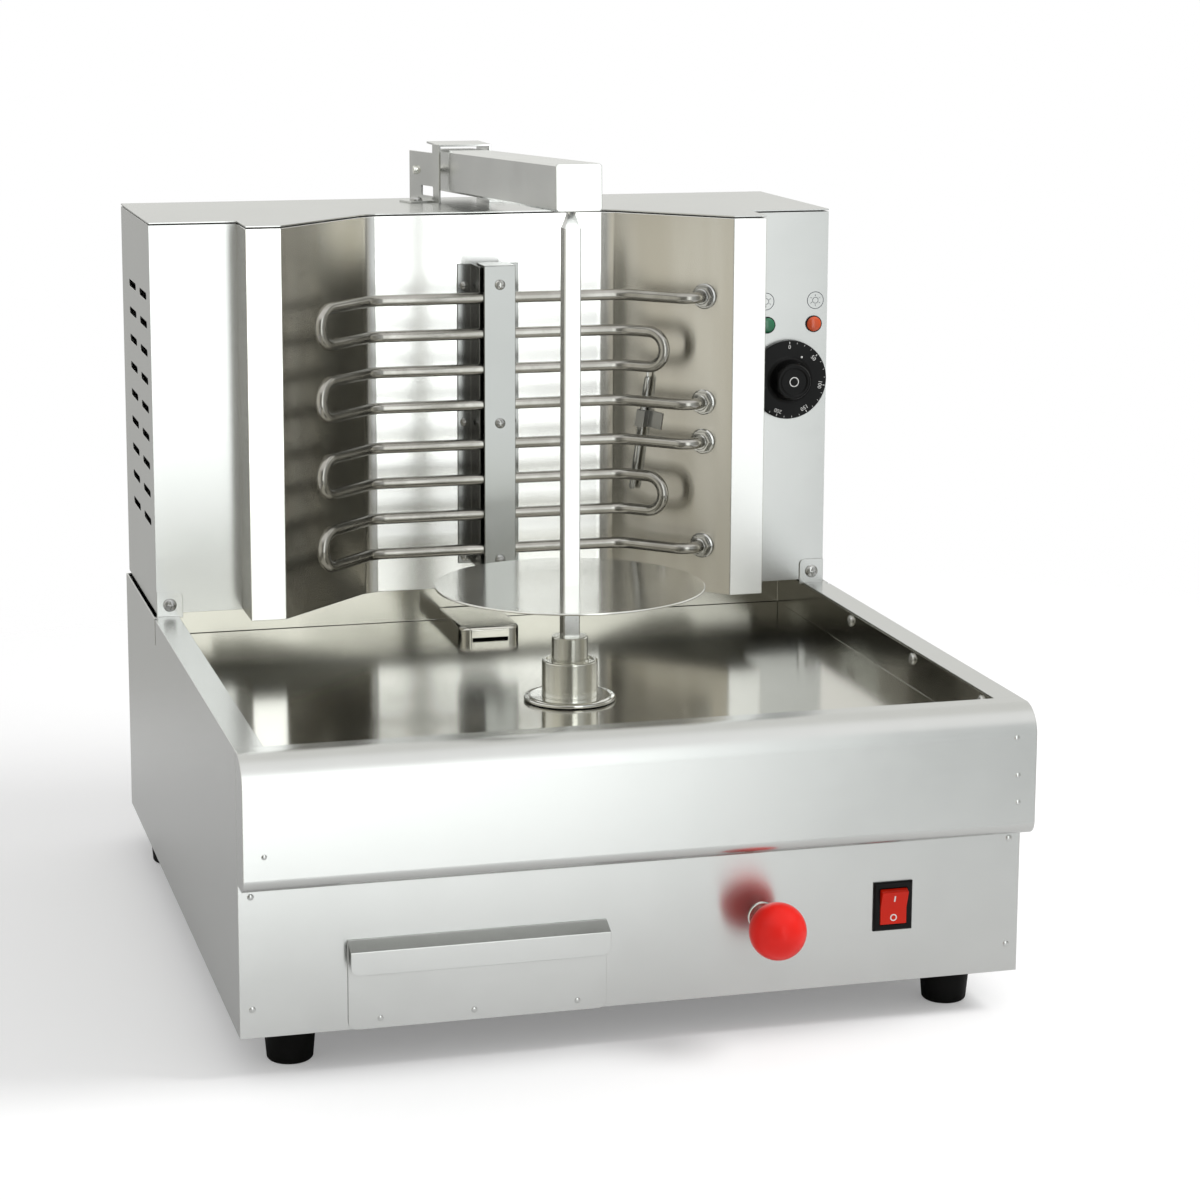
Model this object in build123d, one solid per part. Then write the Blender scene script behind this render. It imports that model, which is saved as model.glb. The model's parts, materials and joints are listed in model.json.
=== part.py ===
from build123d import *
from math import cos, pi, radians, sin, sqrt, tan
import os

# Electric doner kebab grill, in millimetres.
# X runs to the right, the front faces -Y, Z is up and the floor is Z = 0.

# Casing
WIDTH = 490.0
BODY_DEPTH = 518.0
BASE_HEIGHT = 175.0
UPPER_HEIGHT = 269.5
SHEET = 1.2
BODY_GAP = 2.0
FLANGE = 14.0

# Facets of round parts
TUBE_SIDES = 8
TUBE_BEND_STEP = 30.0
PEG_SIDES = 12
TURNED_SIDES = 24
PLATE_SIDES = 60

# Feet
FOOT_HEIGHT = 26.0
FOOT_TOP_RADIUS = 16.5
FOOT_BOTTOM_RADIUS = 14.0
FOOT_BORE_RADIUS = 5.0
FOOT_BORE_DEPTH = 9.0
FRONT_FOOT_SIDE_INSET = 35.0
FRONT_FOOT_SETBACK = 33.0
REAR_FOOT_SIDE_INSET = 21.0
REAR_FOOT_BACK_INSET = 68.0

# Upper body
UPPER_INSET = 2.5
COLUMN_SETBACK = 364.0
COLUMN_WIDTH = 59.5
WING_REACH = 39.0
WING_WIDTH = 24.0
SEAM_FLANGE = 8.0
RECESS_DEPTH = 72.0
CORNER_FACET = 7.0
COVER_LIP = 10.0
COVER_LIP_SETBACK = 12.0
SHADOW_GAP = 0.8
VENT_LENGTH = 30.0
VENT_HEIGHT = 5.0
VENT_CORNER = 1.6
VENT_ROWS = 9
VENT_PITCH = 19.6
VENT_COLUMNS = 2
VENT_COLUMN_PITCH = 58.0
VENT_TOP_DROP = 52.5
VENT_SETBACK = 38.0
UPSTAND_HEIGHT = 17.0
UPSTAND_INSET = 40.0
WIRING_HOLE_RADIUS = 15.0

# Base, apron and tray
RIM_WIDTH = 17.5
RIM_REAR_GAP = 4.0
TRAY_DEPTH = 26.0
TRAY_UNDERREACH = 56.0
TRAY_LEDGE = 10.0
APRON_REACH = 22.0
APRON_BOTTOM = 94.0
APRON_TOP_RADIUS = 18.0
APRON_BOTTOM_RADIUS = 9.0
APRON_LIP = 8.0
APRON_OVERLAP = 5.1
TAB_WIDTH = 18.0
TAB_HEIGHT = 17.0
TAB_CORNER = 4.0
RELIEF_WIDTH = 4.0
RELIEF_DEPTH = 19.0
RELIEF_SETBACK = 354.0

# Heating elements
TUBE_RADIUS = 4.0
RUN_COUNT = 4
RUN_PITCH = 25.0
ELEMENT_TOP_DROP = 57.5
ELEMENT_STEP = 103.0
TUBE_STANDOFF = 31.0
PANEL_STANDOFF = 19.8
LEFT_REACH = 61.5
RIGHT_REACH = 34.0
TERMINAL_REACH = 55.2
TERMINAL_TAIL = 20.0
PANEL_BEND = 20.0
TERMINAL_BEND = 11.0
BEND_MARGIN = 0.1
NUT_RADIUS = 7.8
NUT_HEIGHT = 4.5
BOSS_RADIUS = 9.0
BOSS_HEIGHT = 2.0
NECK_RADIUS = 6.0
LOCKNUT_HEIGHT = 4.0

# Element support
CLAMP_WIDTH = 22.4
CLAMP_THICKNESS = 2.0
CLAMP_TOP_DROP = 36.5
CLAMP_BOTTOM_LIFT = 18.0
CHANNEL_FLANGE = 11.0

# Thermostat bulb
BULB_RADIUS = 2.3
BULB_LENGTH = 84.0
BULB_GAP = 1.9
BULB_TOP_DROP = 116.5
BULB_TOP_REACH = 12.7
BULB_LEAN = 8.6
CAPILLARY_RADIUS = 1.0
CAPILLARY_RISE = 8.0
CLIP_DROP = 31.0
CLIP_SIZE = 12.0
CLIP_THICKNESS = 1.0

# Spit and its drive
SPIT_SETBACK = 170.0
BAR_SIDE = 11.0
BAR_PROUD = 9.0
BAR_BEVEL = 0.8
POINT_LENGTH = 9.5
TIP_RADIUS = 3.0
TIP_LENGTH = 12.0
PLATE_RADIUS = 87.5
PLATE_THICKNESS = 1.5
PLATE_LIFT = 76.0
PLATE_HUB_RADIUS = 9.0
PLATE_HUB_HEIGHT = 4.0
DISC_RADIUS = 30.0
DISC_HEIGHT = 3.0
DISC_SHEET = 1.2
DISC_BEAD = 2.0
COLLAR_RADIUS = 18.2
COLLAR_HEIGHT = 23.5
COLLAR_BEVEL = 1.6
SOCKET_RADIUS = 11.8
SOCKET_HEIGHT = 15.5
SOCKET_DEPTH = 24.0
SHAFT_RADIUS = 7.0
SHAFT_ENGAGEMENT = 12.0
CARRIAGE_TRAVEL = 10.0
SLOT_MARGIN = 1.0
CARRIAGE_DROP = 13.8
CARRIAGE_SHEET = 3.0
CARRIAGE_LENGTH = 124.0
CARRIAGE_MARGIN = 14.0
GEARBOX_RADIUS = 30.0
GEARBOX_HEIGHT = 26.0
MOTOR_RADIUS = 24.0
MOTOR_HEIGHT = 40.0
MOTOR_BEVEL = 2.0
GUIDE_RADIUS = 5.0
GUIDE_X = 52.0
GUIDE_LENGTH = 190.0
GUIDE_DROP = 9.0
BUSH_WIDTH = 20.0
BUSH_LENGTH = 30.0
RAIL_SHEET = 2.5
RAIL_MARGIN = 12.0
RAIL_END_INSET = 5.0

# Ball knob and its rod
BALL_RADIUS = 17.5
BALL_STANDOFF = 30.0
BALL_FLAT = 1.5
BALL_POLE = 1.2
BALL_STEP = 15
ROD_RADIUS = 4.0
ROD_X = 76.5
ROD_ARM_SETBACK = 42.0
ROD_ARM_WIDTH = 24.0
ROD_TAIL = 12.0
ROD_NUT_RADIUS = 7.5
ROD_NUT_HEIGHT = 5.0
BUSHING_RADIUS = 7.5
BUSHING_FLANGE_RADIUS = 9.0
BUSHING_LENGTH = 12.0
BUSHING_PROUD = 1.2
CONTROL_RISE = 49.0

# Support arm and its saddle
ARM_SIDE = 30.0
ARM_WALL = 2.0
ARM_CORNER = 1.5
ARM_FRONT_REACH = 18.0
ARM_TILT = 2.3
ARM_TAIL = 8.0
ARM_SLOT_MARGIN = 2.0
PIVOT_RISE = 22.0
PIVOT_INSET = 18.0
PIVOT_RADIUS = 3.0
PIVOT_HEAD_RADIUS = 4.5
PIVOT_HEAD_HEIGHT = 2.0
SADDLE_SHEET = 1.5
SADDLE_LENGTH = 40.0
SADDLE_OFFSET = 33.0
SADDLE_CLEARANCE = 3.0
STRAP_CLEARANCE = 2.4
SPLAY_ANGLE = 16.0
SPLAY_STEP = 5.0
SPLAY_JOIN = 10.0
SADDLE_FOOT = 18.0
WINDOW_HEIGHT = 7.0
WINDOW_LIFT = 3.0

# Controls
SWITCH_SIDE_INSET = 83.8
SWITCH_WIDTH = 25.4
SWITCH_HEIGHT = 31.2
SWITCH_PROUD = 2.0
SWITCH_BODY_DEPTH = 22.0
SWITCH_BODY_MARGIN = 2.0
SWITCH_FLOOR = 4.0
ROCKER_WIDTH = 17.0
ROCKER_RADIUS = 11.5
ROCKER_TILT = 9.0
ROCKER_RAISE = 4.5
ROCKER_WAIST = 2.6
ROCKER_BACK = 4.5
ROCKER_BACK_HALF = 6.0
ROCKER_SINK = 2.0
ROCKER_PIN_RADIUS = 1.5
ROCKER_PIN_LENGTH = 1.2
DIAL_DROP = 121.8
DIAL_SHIFT = 0.25
DIAL_RADIUS = 28.4
DIAL_THICKNESS = 4.0
DIAL_GAP = 0.6
CAP_RADIUS = 14.5
CAP_NECK_RADIUS = 13.0
CAP_HEIGHT = 12.0
CAP_BEVEL = 1.2
STEM_RADIUS = 3.0
STEM_DEPTH = 14.0
THERMOSTAT_WIDTH = 38.0
THERMOSTAT_DEPTH = 30.0
LAMP_RADIUS = 6.0
LAMP_PROUD = 3.0
LAMP_BODY_RADIUS = 4.5
LAMP_BODY_LENGTH = 20.0
LAMP_SPACING = 35.0
LAMP_SHIFT = 1.85
LAMP_RISE = 39.4

# Grease drawer and drain
DRAWER_SIDE_INSET = 64.4
DRAWER_WIDTH = 158.3
DRAWER_HEIGHT = 55.6
DRAWER_SHEET = 1.2
DRAWER_CORNER = 5.0
BOX_INSET = 3.6
BOX_LIFT = 4.0
BOX_HEIGHT = 40.0
BOX_LENGTH = 385.0
OPENING_CLEARANCE = 1.5
HANDLE_REACH = 10.0
HANDLE_SLOPE = 4.6
HANDLE_DROP = 14.5
RUNNER_WIDTH = 10.0
RUNNER_GUARD = 18.0
HOOD_X = -10.0
HOOD_WIDTH = 44.0
HOOD_LENGTH = 71.0
HOOD_HEIGHT = 9.0
HOOD_CORNER = 8.0
INLET_HEIGHT = 2.5
INLET_WIDTH = 26.0
DRAIN_WIDTH = 34.0
DRAIN_LENGTH = 44.0
DRAIN_INSET = 12.0
CHUTE_MARGIN = 4.0
CHUTE_END_SIZE = 34.0
CHUTE_END_INSET = 36.1
CHUTE_GAP = 12.0

# Mains entry
GLAND_SIDE_INSET = 95.0
GLAND_RISE = 54.0
GLAND_RADIUS = 11.0
GLAND_REACH = 16.0
GLAND_BORE = 4.5
GLAND_THREAD_RADIUS = 8.0
GLAND_NUT_HEIGHT = 5.0
TERMINAL_WIDTH = 60.0
TERMINAL_DEPTH = 20.0
TERMINAL_HEIGHT = 22.0
TERMINAL_WAYS = 5
TERMINAL_BACK_GAP = 38.0

# Clearances
BORE_CLEARANCE = 0.05
RUNNING_CLEARANCE = 0.3

# Planes and centres worked out from the sizes above
OVERALL_LENGTH = BALL_STANDOFF + BALL_RADIUS + BODY_DEPTH + GLAND_REACH
FRONT_Y = BALL_STANDOFF + BALL_RADIUS - OVERALL_LENGTH / 2
BACK_Y = FRONT_Y + BODY_DEPTH
SIDE_X = WIDTH / 2
BASE_Z = FOOT_HEIGHT
RIM_Z = BASE_Z + BASE_HEIGHT
RIM_UNDER_Z = RIM_Z - SHEET
FLOOR_Z = RIM_Z - TRAY_DEPTH
PLATE_Z = BASE_Z + SHEET
UPPER_Z = RIM_Z + BODY_GAP
TOP_Z = UPPER_Z + UPPER_HEIGHT
COVER_Z = TOP_Z - SHEET
FACE_TOP_Z = COVER_Z - SHADOW_GAP
UPPER_X = SIDE_X - UPPER_INSET
COLUMN_Y = FRONT_Y + COLUMN_SETBACK
WING_Y = COLUMN_Y - WING_REACH
WALL_Y = WING_Y + RECESS_DEPTH
WING_OUTER_X = UPPER_X - COLUMN_WIDTH
WING_INNER_X = WING_OUTER_X - WING_WIDTH
WALL_X = WING_INNER_X - RECESS_DEPTH
TRAY_X = SIDE_X - RIM_WIDTH
TRAY_FRONT_Y = FRONT_Y + SHEET + APRON_OVERLAP
TRAY_BACK_Y = COLUMN_Y + TRAY_UNDERREACH
SPIT_Y = FRONT_Y + SPIT_SETBACK
CONTROL_Z = BASE_Z + CONTROL_RISE
CONTROL_X = (UPPER_X + WING_OUTER_X) / 2 + DIAL_SHIFT
DIAL_Z = TOP_Z - DIAL_DROP
LAMP_Z = DIAL_Z + LAMP_RISE
LAMP_XS = [CONTROL_X + LAMP_SHIFT + side * LAMP_SPACING / 2 for side in (-1, 1)]
TUBE_Y = WALL_Y - TUBE_STANDOFF
TUBE_CORNER_X = WALL_X + TUBE_STANDOFF - PANEL_STANDOFF * sqrt(2)
UPPER_TUBE_Z = TOP_Z - ELEMENT_TOP_DROP
LOWER_TUBE_Z = UPPER_TUBE_Z - ELEMENT_STEP
PANEL_NORMAL = Vector(-1, -1, 0).normalized()
CLAMP_TOP_Z = TOP_Z - CLAMP_TOP_DROP
CLAMP_BOTTOM_Z = UPPER_Z + CLAMP_BOTTOM_LIFT
SOCKET_Z = FLOOR_Z + RUNNING_CLEARANCE + DISC_HEIGHT
SOCKET_TOP_Z = SOCKET_Z + COLLAR_HEIGHT + SOCKET_HEIGHT
BAR_TOP_Z = TOP_Z + BAR_PROUD
POINT_Z = BAR_TOP_Z + POINT_LENGTH
CARRIAGE_Z = FLOOR_Z - SHEET - CARRIAGE_DROP
CARRIAGE_UNDER_Z = CARRIAGE_Z - CARRIAGE_SHEET
GUIDE_Z = CARRIAGE_UNDER_Z - GUIDE_DROP
ROD_ARM_Y = SPIT_Y - ROD_ARM_SETBACK
PIVOT_Y = BACK_Y - PIVOT_INSET
PIVOT_Z = TOP_Z + PIVOT_RISE
ARM_FRONT = SPIT_Y - ARM_FRONT_REACH - PIVOT_Y
SADDLE_X = ARM_SIDE / 2 + SADDLE_CLEARANCE
SADDLE_Y = PIVOT_Y - SADDLE_OFFSET
SADDLE_FOOT_Z = TOP_Z + SADDLE_SHEET
STRAP_Z = PIVOT_Z + ARM_SIDE / 2 + SADDLE_OFFSET * tan(radians(ARM_TILT)) + STRAP_CLEARANCE
DRAWER_LEFT = DRAWER_SIDE_INSET - SIDE_X
DRAWER_RIGHT = DRAWER_LEFT + DRAWER_WIDTH
BOX_LEFT = DRAWER_LEFT + BOX_INSET
BOX_RIGHT = DRAWER_RIGHT - BOX_INSET
BOX_Z = BASE_Z + BOX_LIFT
SWITCH_X = SIDE_X - SWITCH_SIDE_INSET
SWITCH_BODY_WIDTH = SWITCH_WIDTH - 2 * SWITCH_BODY_MARGIN
SWITCH_BODY_HEIGHT = SWITCH_HEIGHT - 2 * SWITCH_BODY_MARGIN
ROCKER_Y = FRONT_Y - SWITCH_PROUD + ROCKER_SINK
GLAND_X = GLAND_SIDE_INSET - SIDE_X
GLAND_Z = BASE_Z + GLAND_RISE


# Shapes used again and again
def block(x0, x1, y0, y1, z0, z1):
    """A box between two corners."""
    centre = Pos((x0 + x1) / 2, (y0 + y1) / 2, (z0 + z1) / 2)
    return centre * Box(abs(x1 - x0), abs(y1 - y0), abs(z1 - z0))


def block_at(x, z, width, height, y0, y1):
    """A box along Y, centred at x and z."""
    return Pos(x, (y0 + y1) / 2, z) * Box(width, abs(y1 - y0), height)


def prism(points, z0, z1):
    """A closed outline in plan, raised from z0 to z1."""
    return extrude(Pos(0, 0, z0) * make_face(Polyline(*points, close=True)), z1 - z0)


def side_plane(x):
    """A drawing plane across the object at x, with Y to the right and Z up."""
    return Plane(origin=(x, 0, 0), x_dir=(0, 1, 0), z_dir=(1, 0, 0))


def side_prism(points, x0, x1):
    """A closed outline of (y, z) points, drawn from x0 to x1."""
    return extrude(side_plane(x0) * make_face(Polyline(*points, close=True)), x1 - x0)


def facing_front(x, y, z):
    """A plane at a point, facing the front, with X to the right and Z up."""
    return Plane(origin=(x, y, z), x_dir=(1, 0, 0), z_dir=(0, -1, 0))


def front_plane(y):
    """A drawing plane facing the front at y, with X to the right and Z up."""
    return facing_front(0, y, 0)


def bar_x(x0, x1, y, z, radius):
    """A round bar along X."""
    return Pos((x0 + x1) / 2, y, z) * Rot(0, 90, 0) * Cylinder(radius, abs(x1 - x0))


def bar_y(x, z, y0, y1, radius):
    """A round bar along Y."""
    return Pos(x, (y0 + y1) / 2, z) * Rot(90, 0, 0) * Cylinder(radius, abs(y1 - y0))


def bar_z(x, y, z0, z1, radius):
    """A round bar along Z."""
    return Pos(x, y, (z0 + z1) / 2) * Cylinder(radius, abs(z1 - z0))


def peg(radius, height, sides=PEG_SIDES):
    """A many-sided bar from the origin along Z, its corners on the radius."""
    return extrude(RegularPolygon(radius, sides), height)


def round_hole(radius):
    """The many-sided outline of a hole that clears a round bar of the given radius."""
    return RegularPolygon(radius + BORE_CLEARANCE, PEG_SIDES, major_radius=False)


def peg_y(x, z, y0, y1, radius, sides=PEG_SIDES):
    """A many-sided bar along Y."""
    return facing_front(x, y1, z) * peg(radius, y1 - y0, sides)


def ringed(rings):
    """A solid with flat sides through rings of points, closed over its first and last ring."""
    faces = [Face(Wire.make_polygon(ring)) for ring in (rings[0], rings[-1])]
    for low, high in zip(rings, rings[1:]):
        for i in range(len(low)):
            faces.append(Face(Wire.make_polygon([low[i - 1], low[i], high[i], high[i - 1]])))
    return Solid(Shell(faces))


def ring_points(plane, radius, sides):
    """The corners of a regular polygon on a plane."""
    angles = [2 * pi * i / sides for i in range(sides)]
    return [plane.from_local_coords((radius * cos(a), radius * sin(a), 0)) for a in angles]


def turned(points, sides=TURNED_SIDES):
    """A turned shape with flat sides, from (radius, height) points going up."""
    return ringed([ring_points(Plane.XY.offset(z), radius, sides) for radius, z in points])


def rectangle_points(x, y, z, half_x, half_y):
    """The corners of a level rectangle."""
    corners = ((-1, -1), (1, -1), (1, 1), (-1, 1))
    return [Vector(x + i * half_x, y + j * half_y, z) for i, j in corners]


def bend_points(before, corner, after, radius):
    """Points along a bend of the given radius at one corner of a run."""
    first = (before - corner).normalized()
    last = (after - corner).normalized()
    half = radians(first.get_angle(last)) / 2
    turn = pi - 2 * half
    centre = corner + (first + last).normalized() * (radius / sin(half))
    start = corner + first * (radius / tan(half)) - centre
    end = corner + last * (radius / tan(half)) - centre
    steps = round(turn / radians(TUBE_BEND_STEP))
    shares = [i / steps * turn for i in range(steps + 1)]
    return [centre + (start * sin(turn - a) + end * sin(a)) / sin(turn) for a in shares]


def bent_tube(points, radii, radius, sides=TUBE_SIDES):
    """A many-sided tube along a run of points, with a bend at each inner point."""
    line = [Vector(*point) for point in points]
    stops = [line[0]]
    for i, bend in enumerate(radii, 1):
        stops += bend_points(line[i - 1], line[i], line[i + 1], bend)
    stops.append(line[-1])
    ways = [(b - a).normalized() for a, b in zip(stops, stops[1:])]
    ring = ring_points(Plane(origin=stops[0], z_dir=ways[0]), radius, sides)
    rings = [ring]
    for i, way in enumerate(ways):
        cut = way + ways[i + 1] if i + 1 < len(ways) else way
        ring = [p + way * ((stops[i + 1] - p).dot(cut) / way.dot(cut)) for p in ring]
        rings.append(ring)
    return ringed(rings)


def offset_line(points, distance):
    """An open run of plan points moved sideways to its left, with mitred corners."""
    moved = []
    for i, (x, y) in enumerate(points):
        normals = []
        for a, b in ((i - 1, i), (i, i + 1)):
            if 0 <= a and b < len(points):
                dx = points[b][0] - points[a][0]
                dy = points[b][1] - points[a][1]
                length = sqrt(dx * dx + dy * dy)
                normals.append((-dy / length, dx / length))
        nx = sum(normal[0] for normal in normals)
        ny = sum(normal[1] for normal in normals)
        scale = distance * len(normals) / (nx * nx + ny * ny)
        moved.append((x + nx * scale, y + ny * scale))
    return moved


def sheet_outline(run, thickness):
    """The closed outline of a bent sheet whose thickness lies to the left of its run."""
    return run + offset_line(run, thickness)[::-1]


def mirrored(points):
    """The same plan points on the other side of the object, in reverse order."""
    return [(-x, y) for x, y in reversed(points)]


def group(shapes):
    """Separate solids that share one node."""
    return Compound([solid for shape in shapes for solid in shape.solids()])


# Base
def foot(side, side_inset, y):
    """A rubber foot: a tapered plug with a recess for its screw."""
    body = turned([(FOOT_BOTTOM_RADIUS, 0), (FOOT_TOP_RADIUS, FOOT_HEIGHT)])
    place = Pos(side * (SIDE_X - side_inset), y, 0)
    return place * (body - peg(FOOT_BORE_RADIUS, FOOT_BORE_DEPTH))


def base_side(side):
    """One side of the base, folded from one sheet: wall, rim, skirt, front flange and tab."""
    outer = side * SIDE_X
    inner = side * (SIDE_X - SHEET)
    front = FRONT_Y + SHEET
    back = BACK_Y - SHEET
    panel = block(inner, outer, front, back, BASE_Z, RIM_UNDER_Z)
    panel += block(inner, outer, TRAY_FRONT_Y, back, RIM_UNDER_Z, RIM_Z)
    panel += block(inner, side * (SIDE_X - FLANGE), front, front + SHEET, BASE_Z, RIM_UNDER_Z)
    panel += block(outer, side * TRAY_X, TRAY_FRONT_Y, COLUMN_Y, RIM_UNDER_Z, RIM_Z)
    skirt = side * (TRAY_X + SHEET)
    skirt_back = COLUMN_Y - RIM_REAR_GAP
    skirt_z = RIM_UNDER_Z - FLANGE
    panel += block(skirt, skirt + side * SHEET, TRAY_FRONT_Y, skirt_back, skirt_z, RIM_UNDER_Z)
    panel += base_tab(side)
    relief_y = FRONT_Y + RELIEF_SETBACK
    relief_x = side * (SIDE_X - 2 * SHEET)
    relief_z = RIM_Z - RELIEF_DEPTH
    panel -= block(relief_x, outer + side, relief_y, relief_y + RELIEF_WIDTH, relief_z, RIM_Z + SHEET)
    return panel


def base_tab(side):
    """The tab that stands up from the rim against the column's front."""
    height = TAB_HEIGHT + SHEET
    face = Rectangle(TAB_WIDTH, height)
    top = face.vertices().group_by(Axis.Y)[-1].sort_by(Axis.X)
    face = fillet(top[0] if side > 0 else top[-1], TAB_CORNER)
    centre = Pos(side * (UPPER_X - TAB_WIDTH / 2), RIM_UNDER_Z + height / 2)
    return extrude(front_plane(COLUMN_Y) * centre * face, SHEET)


def base_front_panel():
    """The flat front panel, cut for the drawer, the rod's bush and the switch."""
    panel = block(-SIDE_X, SIDE_X, FRONT_Y, FRONT_Y + SHEET, BASE_Z, RIM_UNDER_Z)
    y0 = FRONT_Y - SHEET
    y1 = FRONT_Y + 2 * SHEET
    left = BOX_LEFT - OPENING_CLEARANCE
    right = BOX_RIGHT + OPENING_CLEARANCE
    panel -= block(left, right, y0, y1, BOX_Z - OPENING_CLEARANCE, BOX_Z + BOX_HEIGHT + OPENING_CLEARANCE)
    panel -= peg_y(ROD_X, CONTROL_Z, y0, y1, BUSHING_RADIUS)
    return panel - block_at(SWITCH_X, CONTROL_Z, SWITCH_BODY_WIDTH, SWITCH_BODY_HEIGHT, y0, y1)


def apron_outline():
    """The apron's outer shape from the side: rounded shoulder, flat front and rolled foot."""
    front = FRONT_Y - APRON_REACH
    bottom = BASE_Z + APRON_BOTTOM
    corners = [(FRONT_Y, RIM_Z), (front, RIM_Z), (front, bottom), (FRONT_Y, bottom)]
    outline = make_face(Polyline(*corners, close=True))
    shoulder = outline.vertices().group_by(Axis.X)[0].sort_by(Axis.Y)[-1]
    outline = fillet(shoulder, APRON_TOP_RADIUS)
    rolled = outline.vertices().group_by(Axis.Y)[0].sort_by(Axis.X)[0]
    return fillet(rolled, APRON_BOTTOM_RADIUS)


def front_apron():
    """The hollow apron in front of the tray, with closed ends and a ledge over the tray's edge."""
    outline = apron_outline()
    inner = SIDE_X - SHEET
    shell = extrude(side_plane(-SIDE_X) * outline, WIDTH)
    shell -= extrude(side_plane(-inner) * offset(outline, -SHEET), 2 * inner)
    lip_top = BASE_Z + APRON_BOTTOM + SHEET + APRON_LIP
    shell -= block(-inner, inner, FRONT_Y - 2 * SHEET, FRONT_Y + SHEET, lip_top, RIM_UNDER_Z)
    return shell + block(-SIDE_X, SIDE_X, FRONT_Y, TRAY_FRONT_Y, RIM_UNDER_Z, RIM_Z)


def base_bottom_plate():
    """The bottom plate with its edges turned up inside the walls, open where the drawer passes."""
    outer = SIDE_X - SHEET
    front = FRONT_Y + 2 * SHEET
    back = BACK_Y - 2 * SHEET
    plate = block(-outer, outer, front, back, BASE_Z, PLATE_Z + FLANGE)
    plate -= block(SHEET - outer, outer - SHEET, front + SHEET, back - SHEET, PLATE_Z, RIM_Z)
    left = BOX_LEFT - OPENING_CLEARANCE
    right = BOX_RIGHT + OPENING_CLEARANCE
    return plate - block(left, right, front - SHEET, front + 2 * SHEET, PLATE_Z, RIM_Z)


def base_back_panel():
    """The base's back panel, its upstand reaching up inside the upper body."""
    width = SIDE_X - SHEET
    y0 = BACK_Y - 2 * SHEET
    y1 = BACK_Y - SHEET
    upstand = UPPER_X - UPSTAND_INSET
    panel = block(-width, width, y0, y1, BASE_Z, RIM_Z)
    panel += block(-upstand, upstand, y0, y1, RIM_Z, UPPER_Z + UPSTAND_HEIGHT)
    thread = GLAND_THREAD_RADIUS + BORE_CLEARANCE
    return panel - peg_y(GLAND_X, GLAND_Z, y0 - SHEET, y1 + SHEET, thread)


def drip_tray():
    """The grease tray: a shallow pan with a slot for the drive and a drain at the back."""
    outer = TRAY_X + SHEET
    back = TRAY_BACK_Y + SHEET
    tray = block(-outer, outer, TRAY_FRONT_Y - SHEET, back, FLOOR_Z - SHEET, RIM_UNDER_Z)
    tray -= block(-TRAY_X, TRAY_X, TRAY_FRONT_Y, TRAY_BACK_Y, FLOOR_Z, RIM_Z)
    tray += block(-TRAY_X, TRAY_X, back, back + TRAY_LEDGE, RIM_UNDER_Z - SHEET, RIM_UNDER_Z)
    half_slot = SHAFT_RADIUS + SLOT_MARGIN
    slot = SlotOverall(2 * (CARRIAGE_TRAVEL + half_slot), 2 * half_slot, rotation=90)
    tray -= extrude(Pos(0, SPIT_Y, FLOOR_Z - 2 * SHEET) * slot, 4 * SHEET)
    tray -= drain_block(0, FLOOR_Z - 2 * SHEET, FLOOR_Z + SHEET)
    return tray


def drain_block(margin, z0, z1):
    """The block of the drain hole, grown sideways by a margin."""
    back = TRAY_BACK_Y - DRAIN_INSET
    half = DRAIN_WIDTH / 2 + margin
    return block(HOOD_X - half, HOOD_X + half, back - DRAIN_LENGTH - margin, back + margin, z0, z1)


def drain_hood():
    """The low cover over the drain, with a slot at the front for the grease to run in."""
    front = TRAY_BACK_Y - HOOD_LENGTH
    face = Pos(HOOD_X, front + HOOD_LENGTH / 2) * Rectangle(HOOD_WIDTH, HOOD_LENGTH)
    face = fillet(face.vertices().group_by(Axis.Y)[0], HOOD_CORNER)
    hood = extrude(Pos(0, 0, FLOOR_Z) * face, HOOD_HEIGHT)
    hood -= extrude(Pos(0, 0, FLOOR_Z - SHEET) * offset(face, -SHEET), HOOD_HEIGHT)
    return hood - block(
        HOOD_X - INLET_WIDTH / 2, HOOD_X + INLET_WIDTH / 2, front - SHEET, front + 2 * SHEET,
        FLOOR_Z, FLOOR_Z + INLET_HEIGHT,
    )


def grease_chute():
    """The sloping funnel under the tray that leads the grease to the drawer."""
    top = FLOOR_Z - SHEET
    bottom = BOX_Z + BOX_HEIGHT + CHUTE_GAP
    upper_y = TRAY_BACK_Y - DRAIN_INSET - DRAIN_LENGTH / 2
    lower_y = FRONT_Y + BOX_LENGTH - CHUTE_END_SIZE
    solids = []
    for growth in (SHEET, 0):
        end = CHUTE_END_SIZE / 2 + growth
        lower = rectangle_points(BOX_RIGHT - CHUTE_END_INSET, lower_y, bottom, end, end)
        upper = rectangle_points(
            HOOD_X, upper_y, top, DRAIN_WIDTH / 2 + growth, DRAIN_LENGTH / 2 + growth
        )
        solids.append(ringed([lower, upper]))
    return solids[0] + drain_block(SHEET + CHUTE_MARGIN, top - SHEET, top) - solids[1]


# Upper body
def recess_run(column_y):
    """The reflector's run in plan from right to left, its two ends at the given depth."""
    facet = CORNER_FACET / sqrt(2)
    half = [
        (WING_OUTER_X, column_y),
        (WING_OUTER_X, WING_Y),
        (WING_INNER_X, WING_Y),
        (WALL_X + facet, WALL_Y - facet),
        (WALL_X - CORNER_FACET, WALL_Y),
    ]
    return half + mirrored(half)


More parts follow.
